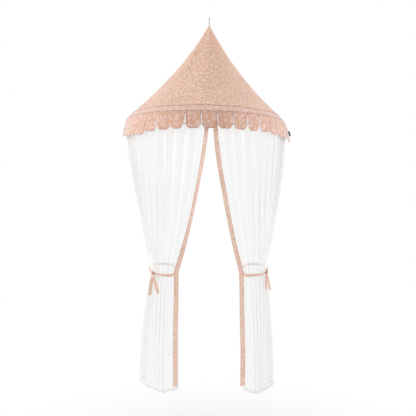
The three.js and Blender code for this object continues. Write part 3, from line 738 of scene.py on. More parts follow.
def makeBand(cotton):
    plan, folds = crownPlan, bandFolds
    section = bandSection()
    down = lengthAlong(section)[:, None]
    s = np.linspace(0, 1, folds["columns"] + 1)[None, :]
    angle = (2 * s - 1) * math.pi / 2
    fade = 1 - smooth(down / plan["bandHeight"] / folds["puckerReach"])
    out = puckered(angle, folds["puckerDepth"]) * fade
    count, depth, phase = folds["wave"]
    swell = np.sin(math.pi * np.clip(down / folds["waveReach"], 0, 1))
    out = out + depth * np.sin(count * angle + phase) * swell
    out = out - hoodFolds["seamDip"] * (1 - smooth(down / folds["seamReach"]))
    points = roundHoop(angle, section[:, :1] + out, section[:, 1:])
    cloth = stack(angle * plan["hoopRadius"], -down + folds["printShift"])
    # painted shade along the crease over the scallops and along the seam under the hood
    folded = np.minimum(np.abs(down - folds["crease"]), down + folds["seamEdge"])
    hem = stack(folded, angle * plan["hoopRadius"])
    band = clothSheet("valance_band_cloth", crownToWorld(points), cloth, hem, cotton, plan["cloth"])
    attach(band, "crown")
    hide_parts("valance_band")


lobePlan = {
    "count": 19, "height": 0.095, "slit": 0.004, "inset": 0.0015,
    "turn": 2.9, "spread": 2.3,  # degrees by which the slits stray from equal steps
    "columns": 20, "rows": 26, "rowPower": 1.7,
    "lengths": [1, 1.1, 1.18, 1.24, 1.26, 1.1, 1.07, 1.04, 1.02, 1,
                1, 1, 1.02, 0.98, 1.06, 1.12, 1.14, 1.18, 1.2],
    "leans": [0.19, 0.18, 0.17, 0.165, 0.13, 0.07, 0.03, 0.07, 0.04, 0.05,
              0.07, 0.04, 0.07, 0.06, 0.1, 0.14, 0.19, 0.24, 0.28],
    "leanExponent": 1.8,
    # corners: how much of the length they take, and the share of the width left at the bottom
    "roundShares": [0.2, 0.2, 0.22, 0.26, 0.3, 0.34, 0.36, 0.36, 0.36, 0.36,
                    0.36, 0.36, 0.36, 0.36, 0.34, 0.3, 0.28, 0.28, 0.3],
    "tipShares": [0.6, 0.6, 0.55, 0.5, 0.45, 0.42, 0.42, 0.42, 0.42, 0.42,
                  0.42, 0.42, 0.42, 0.42, 0.46, 0.5, 0.5, 0.5, 0.5],
    # how far each one laps over its neighbours, like shingles, as shares of half its width
    "leftLap": [0, 0.2, 0.2, 0.2, 0.16, 0.14, 0.01, 0.08, 0, 0,
                0, 0, 0.015, 0.03, 0.03, 0.2, 0.24, 0.26, 0.26],
    "rightLap": [0.2, 0.2, 0.2, 0.16, 0.14, 0.01, 0.08, 0, 0, 0,
                 0, 0.015, 0.03, 0.28, 0.2, 0.24, 0.26, 0.26, 0],
    "lap": 0.0008, "lapHidden": 0.008, "lapFull": 0.06,
    # how far the left and right edges draw in at the bottom, as shares of half the width
    "leftIn": [0, 0, 0, 0.02, 0.05, 0.02, 0.12, 0.02, 0.05, 0.05,
               0.05, 0.08, 0.24, 0.26, 0.06, 0.12, 0.16, 0.2, 0.25],
    "rightIn": [0, 0, 0, 0, 0.02, 0.16, 0.03, 0.34, 0.07, 0.07,
                0.1, 0.14, 0.16, 0.03, 0, 0, 0, 0, 0],
    "drawnPower": 1.3,
    "curls": [0.3, -0.4, 0.5, -0.2, 0.4, 0.2, -0.4, 0.3, -0.3, 0.25,
              -0.35, 0.4, -0.3, 0.35, -0.4, 0.3, -0.3, 0.4, 0.3],
    "curlDepth": 0.006, "curlTurn": 2.2,
    "cup": (0.0035, 2.4),  # each of these is a depth, and how its wave runs
    "ripple": (0.0012, 100.0, 2.1), "rippleStart": 0.3,
    "swell": (0.0025, 23, 0.6),
    "underCasing": 0.0003, "printShift": 0.34, "areaShare": 0.93,
}
lobeReach = crownPlan["casingRadius"] + crownPlan["clothRoom"] - lobePlan["inset"]
lobeRadius = crownPlan["hoopRadius"] + lobeReach


def slitAngle(number):
    share = 2 * number / lobePlan["count"] - 1
    turned = lobePlan["turn"] * (1 - share * share) + lobePlan["spread"] * math.sin(math.pi * share)
    return math.pi / 2 * share + math.radians(turned)


# a scallop's length, its top edge's height and how far it leans out at a share of its length
def lobeHang(number, t):
    plan = lobePlan
    length = plan["height"] * plan["lengths"][number]
    tilt = math.atan(plan["leans"][number] * plan["leanExponent"])
    drop = math.sqrt((lobeReach + plan["inset"]) ** 2 - lobeReach ** 2)
    top = hoopHeight - drop - plan["underCasing"] + crownPlan["clothRoom"] * math.sin(tilt)
    lean = length * plan["leans"][number] * (1 - (1 - t) ** plan["leanExponent"])
    return length, top, lean


def makeScallops(cotton):
    plan = lobePlan
    row = np.linspace(0, 1, plan["rows"] + 1)[:, None]
    across = np.linspace(-1, 1, plan["columns"] + 1)[None, :]
    t = 1 - (1 - row) ** plan["rowPower"]
    for number in range(plan["count"]):
        length, top, lean = lobeHang(number, t)
        centre = (slitAngle(number) + slitAngle(number + 1)) / 2
        half = (slitAngle(number + 1) - slitAngle(number)) / 2 - plan["slit"] / 2 / lobeRadius
        leftLap, rightLap = plan["leftLap"][number], plan["rightLap"][number]
        laps = np.where(across < 0, leftLap, rightLap)
        shingled = min(1, max(leftLap, rightLap) / plan["lapFull"])
        rounding = np.clip((t - 1 + plan["roundShares"][number]) / plan["roundShares"][number], 0, 1)
        width = mix(plan["tipShares"][number], 1, np.sqrt(1 - rounding ** 2))
        drawn = np.where(across < 0, plan["leftIn"][number], plan["rightIn"][number])
        drawn = drawn * t ** plan["drawnPower"]
        angle = centre + across * half * (1 + laps) * width * (1 - drawn)
        curl = plan["curlDepth"] * plan["curls"][number] * t * np.sin(plan["curlTurn"] * across + number)
        depth, change = plan["cup"]
        curl = curl + depth * t ** 2 * across ** 2 * math.cos(change * number)
        depth, count, change = plan["ripple"]
        ripple = depth * np.sin(count * across * half + change * number) * smooth(t / plan["rippleStart"])
        depth, count, phase = plan["swell"]
        swell = shingled * depth * t * np.sin(count * angle + phase)
        lap = -shingled * plan["lap"] * across
        out = (curl + ripple) * (1 - shingled) + swell + lap
        for laid, near in ((plan["leftLap"], -1), (plan["rightLap"], 1)):
            if laid[number]:  # lapped edges hang as one cloth
                lean = lean + (lobeHang(number + near, t)[2] - lean) / 2 * np.clip(near * across, 0, 1)
        points = crownToWorld(roundHoop(angle, lobeRadius + lean + out, top - length * t))
        cloth = stack(angle * lobeRadius, -length * t + plan["printShift"])
        # the distance from the side and bottom edges places the painted shade along them; lapped edges are
        # kept clear of it
        sideEdge = (1 - np.abs(across)) * half * (1 + laps) * lobeRadius * width
        sideEdge = sideEdge + (laps > 0) * plan["lapHidden"]
        hem = stack(np.minimum(sideEdge, length * (1 - t)), angle * lobeRadius + length * t)
        name = f"scallop_{number + 1:02d}"
        lobe = clothSheet(name + "_cloth", points, cloth, hem, cotton, crownPlan["cloth"])
        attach(lobe, "crown")
        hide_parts(name)


labelPlan = {
    "width": 0.017, "height": 0.033, "drop": 0.032, "cloth": 0.0012, "gap": 0.0013, "steps": 12,
    "back": 0.0012, "bend": (0.0008, 4), "twist": (0.0006, 5), "sewnEdge": 0.001,
}


# a folded tab of ribbon, sewn to the back edge of the last scallop, which it follows outwards
def makeLabel(ribbon):
    plan = labelPlan
    last = lobePlan["count"] - 1
    s = np.linspace(0, 1, plan["steps"] + 1)[None, :]
    t = s.T
    height = hoopLine - plan["drop"] - plan["height"] * t
    length, top, _ = lobeHang(last, 0.0)
    lean = lobeHang(last, np.clip((top - height) / length, 0, 1))[2]
    depth, turn = plan["bend"]
    x = lobeRadius + lean + plan["gap"] + plan["width"] * s + depth * np.sin(turn * t)
    depth, turn = plan["twist"]
    y = -plan["back"] + depth * np.sin(turn * t) * s
    points = crownToWorld(stack(x, y, height))
    cloth = stack(plan["width"] * s, -plan["height"] * t)
    fromSide = plan["width"] * (1 - s) + plan["sewnEdge"]
    hem = stack(np.minimum(plan["height"] * np.minimum(t, 1 - t), fromSide), plan["height"] * t)
    label = clothSheet("side_label_ribbon", points, cloth, hem, ribbon, plan["cloth"])
    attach(label, "crown")
    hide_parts("side_label")


# the hoop: two bent tubes, a joining sleeve, a straight bar and two moulded corners
hoopPlan = {
    "tubeSides": 20, "steps": 56, "middleGap": 0.0003, "socketDepth": 0.008,
    "ferruleWall": 0.0015, "ferruleLength": 0.050, "fit": 0.0003, "wallGap": 0.022,
    "elbowRadius": 0.008, "padRadius": 0.010, "padThickness": 0.009, "barSocket": 0.026, "lip": 0.0006,
    "sleeveSteps": 10, "rodSides": 32, "padPlate": 0.003, "padLip": 0.0005, "barLip": 0.0004,
    "neckInset": 0.001, "smoothAngle": math.radians(35),
}


# turns a circle about the hoop's upright axis, from one angle to another
def spunTube(name, radius, fromAngle, toAngle, steps, material, bore=0.0):
    front = (0, -crownPlan["hoopRadius"], hoopHeight)
    bpy.ops.mesh.primitive_circle_add(vertices=hoopPlan["tubeSides"], radius=radius, fill_type="NOTHING",
                                      location=front, rotation=(0, math.pi / 2, 0))
    tube = bpy.context.object
    tube.name = name
    bpy.ops.object.transform_apply(location=True, rotation=True, scale=True)
    tube.data.transform(Matrix.Rotation(fromAngle, 4, "Z"))
    bpy.ops.object.mode_set(mode="EDIT")
    bpy.ops.mesh.select_all(action="SELECT")
    if not bore:
        bpy.ops.mesh.edge_face_add()
    bpy.ops.mesh.spin(steps=steps, angle=fromAngle - toAngle, center=(0, 0, 0), axis=(0, 0, 1))
    bpy.ops.object.mode_set(mode="OBJECT")
    faceOutwards(tube)
    if bore:
        reshape(tube, "SOLIDIFY", thickness=radius - bore, offset=-1)
    finishHoopPart(tube, material)
    return tube


def finishHoopPart(part, material):
    roll = Matrix.Rotation(crownPlan["hangRoll"], 4, "Y")
    place = Matrix.Translation((-crownPlan["tipLean"], 0, -crownPlan["loopLength"]))
    part.data.transform(place @ roll)
    part.data.materials.clear()
    part.data.materials.append(material)
    choose(part)
    bpy.ops.object.shade_smooth_by_angle(angle=hoopPlan["smoothAngle"])


def makeHoop(steel):
    plan = hoopPlan
    end = math.pi / 2 + plan["socketDepth"] / crownPlan["hoopRadius"]
    gap = plan["middleGap"] / crownPlan["hoopRadius"]
    for side, sign in (("left", -1), ("right", 1)):
        tube = spunTube(f"hoop_{side}_tube", crownPlan["tubeRadius"], sign * gap, sign * end,
                        plan["steps"], steel)
        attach(tube, "crown")
        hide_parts(f"hoop_{side}_arc")
    half = plan["ferruleLength"] / 2 / crownPlan["hoopRadius"]
    bore = crownPlan["tubeRadius"] + plan["fit"]
    sleeve = spunTube("hoop_front_sleeve", bore + plan["ferruleWall"], -half, half,
                      plan["sleeveSteps"], steel, bore)
    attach(sleeve, "crown")
    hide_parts("hoop_front_ferrule")


def turnedRod(radius, start, end, lip=0.0):
    middle = (Vector(start) + Vector(end)) / 2
    along = Vector(end) - Vector(start)
    bpy.ops.mesh.primitive_cylinder_add(vertices=hoopPlan["rodSides"], radius=radius, depth=along.length,
                                        location=middle, rotation=along.to_track_quat("Z", "Y").to_euler())
    rod = bpy.context.object
    bpy.ops.object.transform_apply(location=True, rotation=True, scale=True)
    if lip:
        reshape(rod, "BEVEL", width=lip, segments=2)
    return rod


def joinShapes(target, others, operation):
    for other in others:
        choose(target)
        reshape(target, "BOOLEAN", operation=operation, object=other, solver="EXACT")
        bpy.data.objects.remove(other)


def makeCornersAndBar(steel, plastic):
    plan = hoopPlan
    ring = crownPlan["hoopRadius"]
    wall, elbow, fit = plan["wallGap"], plan["elbowRadius"], plan["fit"]
    barBack = wall - plan["padThickness"]
    barEnd = ring - elbow
    bore = crownPlan["tubeRadius"] + fit
    for side, sign in (("left", -1), ("right", 1)):
        x = sign * ring
        socket = sign * (ring - plan["barSocket"])
        knee = (x, barBack, hoopHeight)
        padBack = (x, wall - plan["padPlate"], hoopHeight)
        corner = turnedRod(elbow, (x, fit, hoopHeight), knee, plan["lip"])
        arm = turnedRod(elbow, knee, (socket, barBack, hoopHeight), plan["lip"])
        pad = turnedRod(plan["padRadius"], padBack, (x, wall, hoopHeight), plan["padLip"])
        neck = turnedRod(elbow - plan["neckInset"], knee, (x, wall - plan["neckInset"], hoopHeight))
        bpy.ops.mesh.primitive_uv_sphere_add(segments=plan["rodSides"], ring_count=plan["rodSides"] // 2,
                                             radius=elbow, location=knee)
        ball = bpy.context.object
        joinShapes(corner, [ball, arm, neck, pad], "UNION")
        hoopBore = turnedRod(bore, (x, -fit, hoopHeight), (x, plan["socketDepth"] + fit, hoopHeight))
        barBore = turnedRod(bore, (socket - sign * fit, barBack, hoopHeight),
                            (sign * (barEnd + fit), barBack, hoopHeight))
        joinShapes(corner, [hoopBore, barBore], "DIFFERENCE")
        corner.name = f"hoop_corner_{side}_moulding"
        finishHoopPart(corner, plastic)
        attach(corner, "crown")
        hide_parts(f"hoop_corner_{side}")
    bar = turnedRod(crownPlan["tubeRadius"], (-barEnd, barBack, hoopHeight), (barEnd, barBack, hoopHeight),
                    plan["barLip"])
    bar.name = "back_bar_tube"
    finishHoopPart(bar, steel)
    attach(bar, "crown")
    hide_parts("back_bar")


# hang loop: three plies laid up right-handed, swept along the loop, with a knot inside the hood's tip
cordPlan = {
    "radius": 0.0021, "plies": 3, "groove": 0.24, "plyPower": 0.7, "lay": 0.011,
    "sides": 24, "ringsPerTurn": 12, "ringedLength": 0.14, "smoothAngle": math.radians(60),
    "loopWidth": 0.012, "strandSpacing": 0.0044,
    "knotHeight": -0.0673, "knotRadius": 0.0056, "knotCord": 0.0024, "knotBob": 0.0021, "knotRings": 90,
    "route": [(0, 0), (0.62, -0.05), (0.98, -0.17), (0.95, -0.34), (0.7, -0.58), (0.4, -0.84)],
}


def sweptCord(points, radius, closed):
    plan = cordPlan
    points = np.array(points)
    way = np.roll(points, -1, axis=0) - np.roll(points, 1, axis=0)
    if not closed:
        way[0], way[-1] = points[1] - points[0], points[-1] - points[-2]
    way /= np.linalg.norm(way, axis=1)[:, None]
    side = np.empty_like(way)
    guide = np.array([1.0, 0, 0]) if abs(way[0][0]) < 0.9 else np.array([0, 1.0, 0])
    for k, forward in enumerate(way):
        guide = guide - forward * guide.dot(forward)
        guide /= np.linalg.norm(guide)
        side[k] = guide
    up = np.cross(way, side)
    run = lengthAlong(points)
    turn = np.linspace(0, 2 * math.pi, plan["sides"], endpoint=False)[None, :]
    twist = 2 * math.pi * run / plan["lay"]
    if closed:
        twist *= round(run[-1] / plan["lay"]) * plan["lay"] / run[-1]
    ply = np.abs(np.cos(plan["plies"] / 2 * (turn - twist[:, None])))
    reach = radius * (1 - plan["groove"] * (1 - ply ** plan["plyPower"]))
    spoke = np.cos(turn)[..., None] * side[:, None] + np.sin(turn)[..., None] * up[:, None]
    return points[:, None] + reach[..., None] * spoke, ply, run


def cordMesh(name, runs, material):
    vertices, faces, shades = [], [], []
    for rings, ply, run, closed in runs:
        base = len(vertices)
        count, sides = rings.shape[:2]
        vertices.extend(rings.reshape(-1, 3).tolist())
        shades.extend(zip(ply.ravel().tolist(), np.repeat(run, sides).tolist()))
        for ring in range(count if closed else count - 1):
            nextRing = (ring + 1) % count
            for side in range(sides):
                after = (side + 1) % sides
                faces.append([base + ring * sides + side, base + ring * sides + after,
                              base + nextRing * sides + after, base + nextRing * sides + side])
        if not closed:
            faces.append([base + side for side in reversed(range(sides))])
            faces.append([base + (count - 1) * sides + side for side in range(sides)])
    mesh = bpy.data.meshes.new(name)
    mesh.from_pydata(vertices, [], faces)
    corners = [corner for face in faces for corner in face]
    for layerName in ("cloth", "hem"):
        layer = mesh.uv_layers.new(name=layerName)
        for loop, corner in enumerate(corners):
            layer.data[loop].uv = shades[corner]
    mesh.materials.append(material)
    cord = bpy.data.objects.new(name, mesh)
    bpy.context.collection.objects.link(cord)
    faceOutwards(cord)
    bpy.ops.object.shade_smooth_by_angle(angle=cordPlan["smoothAngle"])
    return cord


def makeHangCord(material):
    plan = cordPlan
    drop, apart = crownPlan["loopLength"], plan["strandSpacing"] / 2
    strand = [(0, a * plan["loopWidth"] / 2, plan["radius"] + d * drop) for a, d in plan["route"]]
    strand += [(0, apart, -drop), (0, apart, plan["knotHeight"])]
    route = [(x, -y, z) for x, y, z in reversed(strand[1:])] + strand
    rings = int(plan["ringedLength"] / plan["lay"] * plan["ringsPerTurn"])
    loop = curveThrough(route, np.linspace(0, 1, rings))
    t = np.linspace(0, 2 * math.pi, plan["knotRings"], endpoint=False)
    size = plan["knotRadius"] / 3
    knot = stack(size * (np.sin(t) + 2 * np.sin(2 * t)), size * (np.cos(t) - 2 * np.cos(2 * t)),
                 plan["knotHeight"] + plan["knotBob"] * np.sin(3 * t))
    runs = [(*sweptCord(loop, plan["radius"], False), False),
            (*sweptCord(knot, plan["knotCord"], True), True)]
    cord = cordMesh("hang_cord", runs, material)
    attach(cord, "hanger")
    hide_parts("hang_loop")


# curtains: laid out in plan as distances outwards (x) and towards the room (y), for each side.
# level runs from 0 at the hoop through 1 at the tie to 2 at the hem
drapePlan = {
    "waistDrop": 1.668, "trimDrop": 2.345, "hemDrop": 2.400, "trimWidth": 0.028, "edge": 0.0153,
    "bindingExponent": 1.5, "fallExponent": 1.8, "waistHalf": (0.066, 0.084), "waistFront": 0.320,
    "trimWaistFront": 0.415, "trimHemFront": 0.396, "hemLift": 0.036, "tieTilt": math.radians(12),
    "tieWidth": 0.015, "tieZone": 0.012, "topFold": 0.009, "waistFold": 0.024, "hemFold": 0.026,
    "folds": 11, "taper": 0.08, "turnShare": 0.45, "billow": 0.015, "inward": 0.0055, "lowShare": 0.62,
    # the bunch's outline past the binding, in shares of its half sizes
    "waistPath": [(-0.5, 1.1), (-0.05, 1.04), (0.45, 0.84), (0.82, 0.46),
                  (0.98, -0.04), (0.92, -0.52), (0.62, -0.9)],
    "hemPath": [(-0.56, 0.86), (-0.22, 0.6), (0.1, 0.26), (0.42, -0.1),
                (0.72, -0.46), (0.94, -0.8), (0.78, -1.08)],
    "hemLifts": [1, 0.3, 0, 0, 0, 0.1, 0.3, 0.4],
    "columns": 420, "upperRows": 84, "lowerRows": 64, "rowPower": 0.92,
    "measuredRow": 40,  # the row along which the flat width is measured
    "seamRoom": 0.0008, "blendFrom": 0.02, "blendTo": 0.03,
}
sidePlans = {
    "left": {
        "sign": -1, "trimTop": 0.012, "trimWaist": 0.197, "trimHem": 0.206, "waistOut": 0.277,
        "hemOut": 0.318, "hemFront": 0.245, "hemHalf": (0.116, 0.146), "backExponent": 1.45,
        "trimTurn": math.radians(-38), "innerFold": 0.046, "phase": 0.0,
        "tails": {"a": (0.131, math.radians(14)), "b": (0.117, math.radians(-22))},
        "tailTurn": 0.8, "tailFlare": 1.18,
    },
    "right": {
        "sign": 1, "trimTop": 0.056, "trimWaist": 0.192, "trimHem": 0.202, "waistOut": 0.270,
        "hemOut": 0.302, "hemFront": 0.290, "hemHalf": (0.090, 0.104), "backExponent": 1.9,
        "trimTurn": math.radians(12), "innerFold": 0.028, "phase": 2.1,
        "tails": {"a": (0.093, math.radians(3)), "b": (0.108, math.radians(19))},
        "tailTurn": 0.3, "tailFlare": 1.0,
    },
}
curtainTop = hoopLine - drapePlan["seamRoom"]
upperFlat = 1 - drapePlan["tieZone"] / (drapePlan["waistDrop"] - crownPlan["loopLength"] + hoopLine)
lowerFlat = drapePlan["tieZone"] / (drapePlan["hemDrop"] - drapePlan["waistDrop"])


def tieHeight(front):
    return (drapePlan["trimWaistFront"] - front) * math.tan(drapePlan["tieTilt"]) - drapePlan["waistDrop"]


def drapeEase(side, u, level):
    exponent = mix(drapePlan["bindingExponent"], side["backExponent"], smooth(u))
    return np.minimum(1, level / upperFlat) ** exponent


def fallEase(level):
    fallen = np.clip((level - lowerFlat) / (1 - lowerFlat), 0, 1)
    return 1 - (1 - fallen) ** drapePlan["fallExponent"]


def bunchWay(first, middle, half, path):
    return [first] + [(middle[0] + a * half[0], middle[1] + b * half[1]) for a, b in path]


# the cloth's smooth way at some level, before its folds
def basePoints(side, u, level):
    plan = drapePlan
    u = np.clip(u, 0, 1)
    shape = np.broadcast(u, level).shape
    across = np.broadcast_to(u, shape)
    down = np.broadcast_to(level, shape)
    waistWay = bunchWay((side["trimWaist"] + plan["edge"], plan["trimWaistFront"]),
                        (side["waistOut"], plan["waistFront"]), plan["waistHalf"], plan["waistPath"])
    waist = curveThrough(waistWay, across.ravel()).reshape(*shape, 2)
    waistZ = tieHeight(waist[..., 1])
    hemWay = bunchWay((side["trimHem"] + plan["edge"], plan["trimHemFront"]),
                      (side["hemOut"], side["hemFront"]), side["hemHalf"], plan["hemPath"])
    hem = curveThrough(hemWay, across.ravel()).reshape(*shape, 2)
    lifts = curveThrough([(value, 0) for value in plan["hemLifts"]], across.ravel())[:, 0].reshape(shape)
    hemZ = -plan["hemDrop"] + plan["hemLift"] * lifts
    edgeX = side["sign"] * side["trimTop"] + plan["edge"]
    angle = mix(math.asin(edgeX / gatherRadius), math.pi / 2, across)
    top = crownToWorld(roundHoop(side["sign"] * angle, gatherRadius, curtainTop))
    topX, topY, topZ = side["sign"] * top[..., 0], -top[..., 1], top[..., 2]
    ease = drapeEase(side, across, np.minimum(down, 1))
    fall = fallEase(np.maximum(down - 1, 0))
    x = np.where(down <= 1, mix(topX, waist[..., 0], ease), mix(waist[..., 0], hem[..., 0], fall))
    y = np.where(down <= 1, mix(topY, waist[..., 1], ease), mix(waist[..., 1], hem[..., 1], fall))
    z = np.where(down <= 1, mix(topZ, waistZ, down), mix(waistZ, hemZ, down - 1))
    return stack(x, y, z)


def outwardOf(side, u, level):
    step = 1 / (drapePlan["folds"] * 4)
    way = basePoints(side, u + step, level) - basePoints(side, u - step, level)
    out = stack(-way[..., 1], way[..., 0], 0 * way[..., 0])
    return out / np.linalg.norm(out, axis=-1, keepdims=True)


def foldDepth(side, level):
    plan = drapePlan
    upper = mix(plan["topFold"], plan["waistFold"], drapeEase(side, 1, np.minimum(level, 1)))
    lower = mix(plan["waistFold"], plan["hemFold"], fallEase(np.maximum(level - 1, 0)))
    return np.where(level <= 1, upper, lower)


# fine pleats: they start at the gathered top, run together on the way down and come back at the tie
pleatPlan = [
    # count, depth at the hoop, half way, at the tie, at the hem, phase
    (58, 0.0012, 0.0002, 0.0004, 0.0, 0.3),
    (34, 0.0010, 0.0003, 0.0002, 0.0, 1.7),
    (19, 0.0008, 0.0014, 0.0006, 0.0006, 2.9),
]
# a zone is the level at which a change starts, and how far on it ends; for "turn" it is in shares of
# how much the cloth faces sideways
foldPlan = {
    "drift": (0.35, 0.5, 2.2, 7),
    "turn": (0.55, 0.4), "turnZone": (0.35, 0.35), "lowZone": (0.5, 0.4),
    "billowIn": (0, 0.07), "billowOut": (0.15, 0.85), "inwardIn": (0, 0.12), "inwardOut": (0.55, 0.35),
    "pleatZones": [(0, 0.35), (0.62, 0.38), (1, 0.35)], "pleatSway": (0.8, 3.1, 11),
    "pleatTurn": 0.6, "pleatEdge": 0.03,
    "tieReach": 0.03, "tieFlatter": 0.12,
    "swingZone": (1.08, 0.5), "swingShare": 0.16, "swingBack": 0.9,
    "hemWaves": (0.004, 9), "hemZone": (1.5, 0.5),
}


def curtainPoints(side, u, level):
    plan, folds = drapePlan, foldPlan
    fromEdge = np.minimum(u, 1 - u)
    taper = smooth(fromEdge / plan["taper"])
    size, depth, change, bends = folds["drift"]
    drift = depth * np.sin(change * level + side["phase"]) * np.sin(math.pi * np.clip(level, 0, 1))
    main = np.sin(2 * math.pi * plan["folds"] * u + size * drift * np.sin(bends * u + side["phase"]))
    out = outwardOf(side, u, level)
    # the cloth is drawn flatter where it turns round the bunch, so its outline stays smooth
    turning = rise(np.abs(out[..., 0]), folds["turn"])
    keep = mix(1, plan["turnShare"], turning * rise(level, folds["turnZone"]))
    keep = keep * mix(1, plan["lowShare"], rise(level, folds["lowZone"]))
    fold = foldDepth(side, level) * taper * (1 - keep + keep * main)
    billow = rise(level, folds["billowIn"]) * (1 - rise(level, folds["billowOut"]))
    fold = fold + plan["billow"] * turning * taper * billow
    inward = rise(level, folds["inwardIn"]) * (1 - rise(level, folds["inwardOut"])) * taper
    fold = fold - plan["inward"] * inward * (1 - main)
    fromHoop, toTie, toHem = [rise(level, zone) for zone in folds["pleatZones"]]
    size, change, bends = folds["pleatSway"]
    kept = (1 - folds["pleatTurn"] * turning) * smooth(fromEdge / folds["pleatEdge"])
    for count, atHoop, between, atTie, atHem, phase in pleatPlan:
        upper = mix(mix(atHoop, between, fromHoop), atTie, toTie)
        depth = np.where(level <= 1, upper, mix(atTie, atHem, toHem))
        sway = phase + side["phase"] + size * np.sin(change * level + bends * u)
        fold = fold + depth * kept * np.sin(2 * math.pi * count * u + sway)
    # nothing stands further out than the main folds where the tie holds the cloth
    near = np.exp(-((level - 1) / folds["tieReach"]) ** 2)
    fold = np.where(fold > 0, fold * (1 - folds["tieFlatter"] * near), fold)
    points = basePoints(side, u, level) + out * fold[..., None]
    # below the tie the first fold swings in behind the binding
    swing = np.sin(math.pi * np.clip(u / folds["swingShare"], 0, 1))
    swing = side["innerFold"] * rise(level, folds["swingZone"]) * swing
    points[..., 0] -= swing
    points[..., 1] -= swing * folds["swingBack"]
    # soft hem
    depth, count = folds["hemWaves"]
    points[..., 2] += depth * np.sin(2 * math.pi * count * u + side["phase"]) * rise(level, folds["hemZone"])
    return stack(side["sign"] * points[..., 0], -points[..., 1], points[..., 2])


# levels of a cloth's rows, from the hoop to the tie and on to its end
def levelRows(upperRows, lowerRows, power):
    upper = np.linspace(0, 1, upperRows + 1) ** power
    return np.concatenate([upper, 1 + np.linspace(0, 1, lowerRows + 1)[1:]])[:, None]


# the sides mirror each other, and every cloth's columns run from left to right
def mirroredSheet(side, name, points, cloth, hem, material, thickness=0.0):
    if side["sign"] < 0:
        points, cloth, hem = points[:, ::-1], cloth[:, ::-1], hem[:, ::-1]
    return clothSheet(name, points, cloth, hem, material, thickness)


def makeCurtain(name, side, tulle):
    plan = drapePlan
    u = np.linspace(0, 1, plan["columns"] + 1)[None, :]
    level = levelRows(plan["upperRows"], plan["lowerRows"], plan["rowPower"])
    points = curtainPoints(side, u, level)
    run = lengthAlong(points[plan["measuredRow"]])[-1]
    down = (curtainTop - crownPlan["loopLength"]) - points[..., 2].mean(axis=1, keepdims=True)
    length = float(down[-1, 0])
    cloth, hem = stack(u * run, -down), stack(length - down, u * run)
    curtain = mirroredSheet(side, f"curtain_{name}_tulle", points, cloth, hem, tulle)
    blendDrape(curtain)
    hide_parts(f"curtain_upper_{name}", f"curtain_lower_{name}")
    print("curtain", name, "flat width", round(float(run), 3), "length", round(length, 3))


# cloth that hangs from the hoop and is held in the tie; its place is baked into its points
def blendDrape(piece):
    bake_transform(piece)


bindingPlan = {
    "columns": 8, "upperRows": 60, "lowerRows": 50, "cloth": 0.0016, "turnZone": (0.7, 0.28),
    "twist": (math.radians(5), 9), "sway": (0.0012, 11), "swayZone": (0, 0.1), "bow": 0.0008,
    "printShift": 0.3, "hemShift": 0.003,
}


def makeBinding(name, side, cotton):
    plan, strip = drapePlan, bindingPlan
    s = np.linspace(-0.5, 0.5, strip["columns"] + 1)[None, :]
    level = levelRows(strip["upperRows"], strip["lowerRows"], 1)
    upper, lower = np.minimum(level, 1), np.maximum(level - 1, 0)
    ease, fall = drapeEase(side, 0, upper), fallEase(lower)
    depth, change = strip["twist"]
    turn = side["trimTurn"] * (1 - rise(level, strip["turnZone"]))
    turn = turn + depth * np.sin(change * level + side["phase"])
    top = crownToWorld(stack(side["trimTop"], -gatherRadius, curtainTop + 0 * s))
    waist = np.array([side["sign"] * side["trimWaist"], -plan["trimWaistFront"], -plan["waistDrop"]])
    end = np.array([side["sign"] * side["trimHem"], -plan["trimHemFront"], -plan["trimDrop"]])
    way = np.where(level[..., None] <= 1, mix(top, waist, ease[..., None]), mix(waist, end, fall[..., None]))
    height = np.where(level <= 1, mix(top[..., 2], waist[2], upper), mix(waist[2], end[2], lower))
    depth, change = strip["sway"]
    sway = depth * np.sin(change * level + side["phase"]) * rise(level, strip["swayZone"])
    width = plan["trimWidth"]
    x = way[..., 0] + s * width * np.cos(turn) + sway
    y = way[..., 1] + s * width * np.sin(turn) - strip["bow"] * (1 - (2 * s) ** 2)
    points = stack(x, y, height)
    down = lengthAlong(points[:, strip["columns"] // 2])[:, None]
    cloth = stack(s * width + side["sign"] * strip["printShift"], -down)
    hem = stack((0.5 - np.abs(s)) * width + strip["hemShift"], down)
    binding = clothSheet(f"front_binding_{name}", points, cloth, hem, cotton, strip["cloth"])
    blendDrape(binding)
    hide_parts(f"front_trim_upper_{name}", f"front_trim_lower_{name}")


headerPlan = {
    "width": 0.015, "columns": 240, "rows": 6, "gathers": (0.0006, 150), "gatherFade": 0.4, "cloth": 0.0012,
}


def makeHeaderTape(name, side, tape):
    plan, width = headerPlan, headerPlan["width"]
    inner = math.asin((side["trimTop"] - side["sign"] * drapePlan["trimWidth"] / 2) / gatherRadius)
    s = np.linspace(0, 1, plan["columns"] + 1)[None, :]
    t = np.linspace(0, 1, plan["rows"] + 1)[:, None]
    angle = mix(inner, side["sign"] * math.pi / 2, s)
    depth, count = plan["gathers"]
    gathers = depth * np.sin(count * angle) * (1 - plan["gatherFade"] * t)
    points = crownToWorld(roundHoop(angle, gatherRadius + gathers, hoopLine + width * (1 - t)))
    cloth = stack(angle * gatherRadius, -width * t)
    hem = stack(width * np.minimum(t, 1 - t), angle * gatherRadius)
    web = mirroredSheet(side, f"header_tape_{name}_web", points, cloth, hem, tape, plan["cloth"])
    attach(web, "crown")
    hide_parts(f"header_tape_{name}")


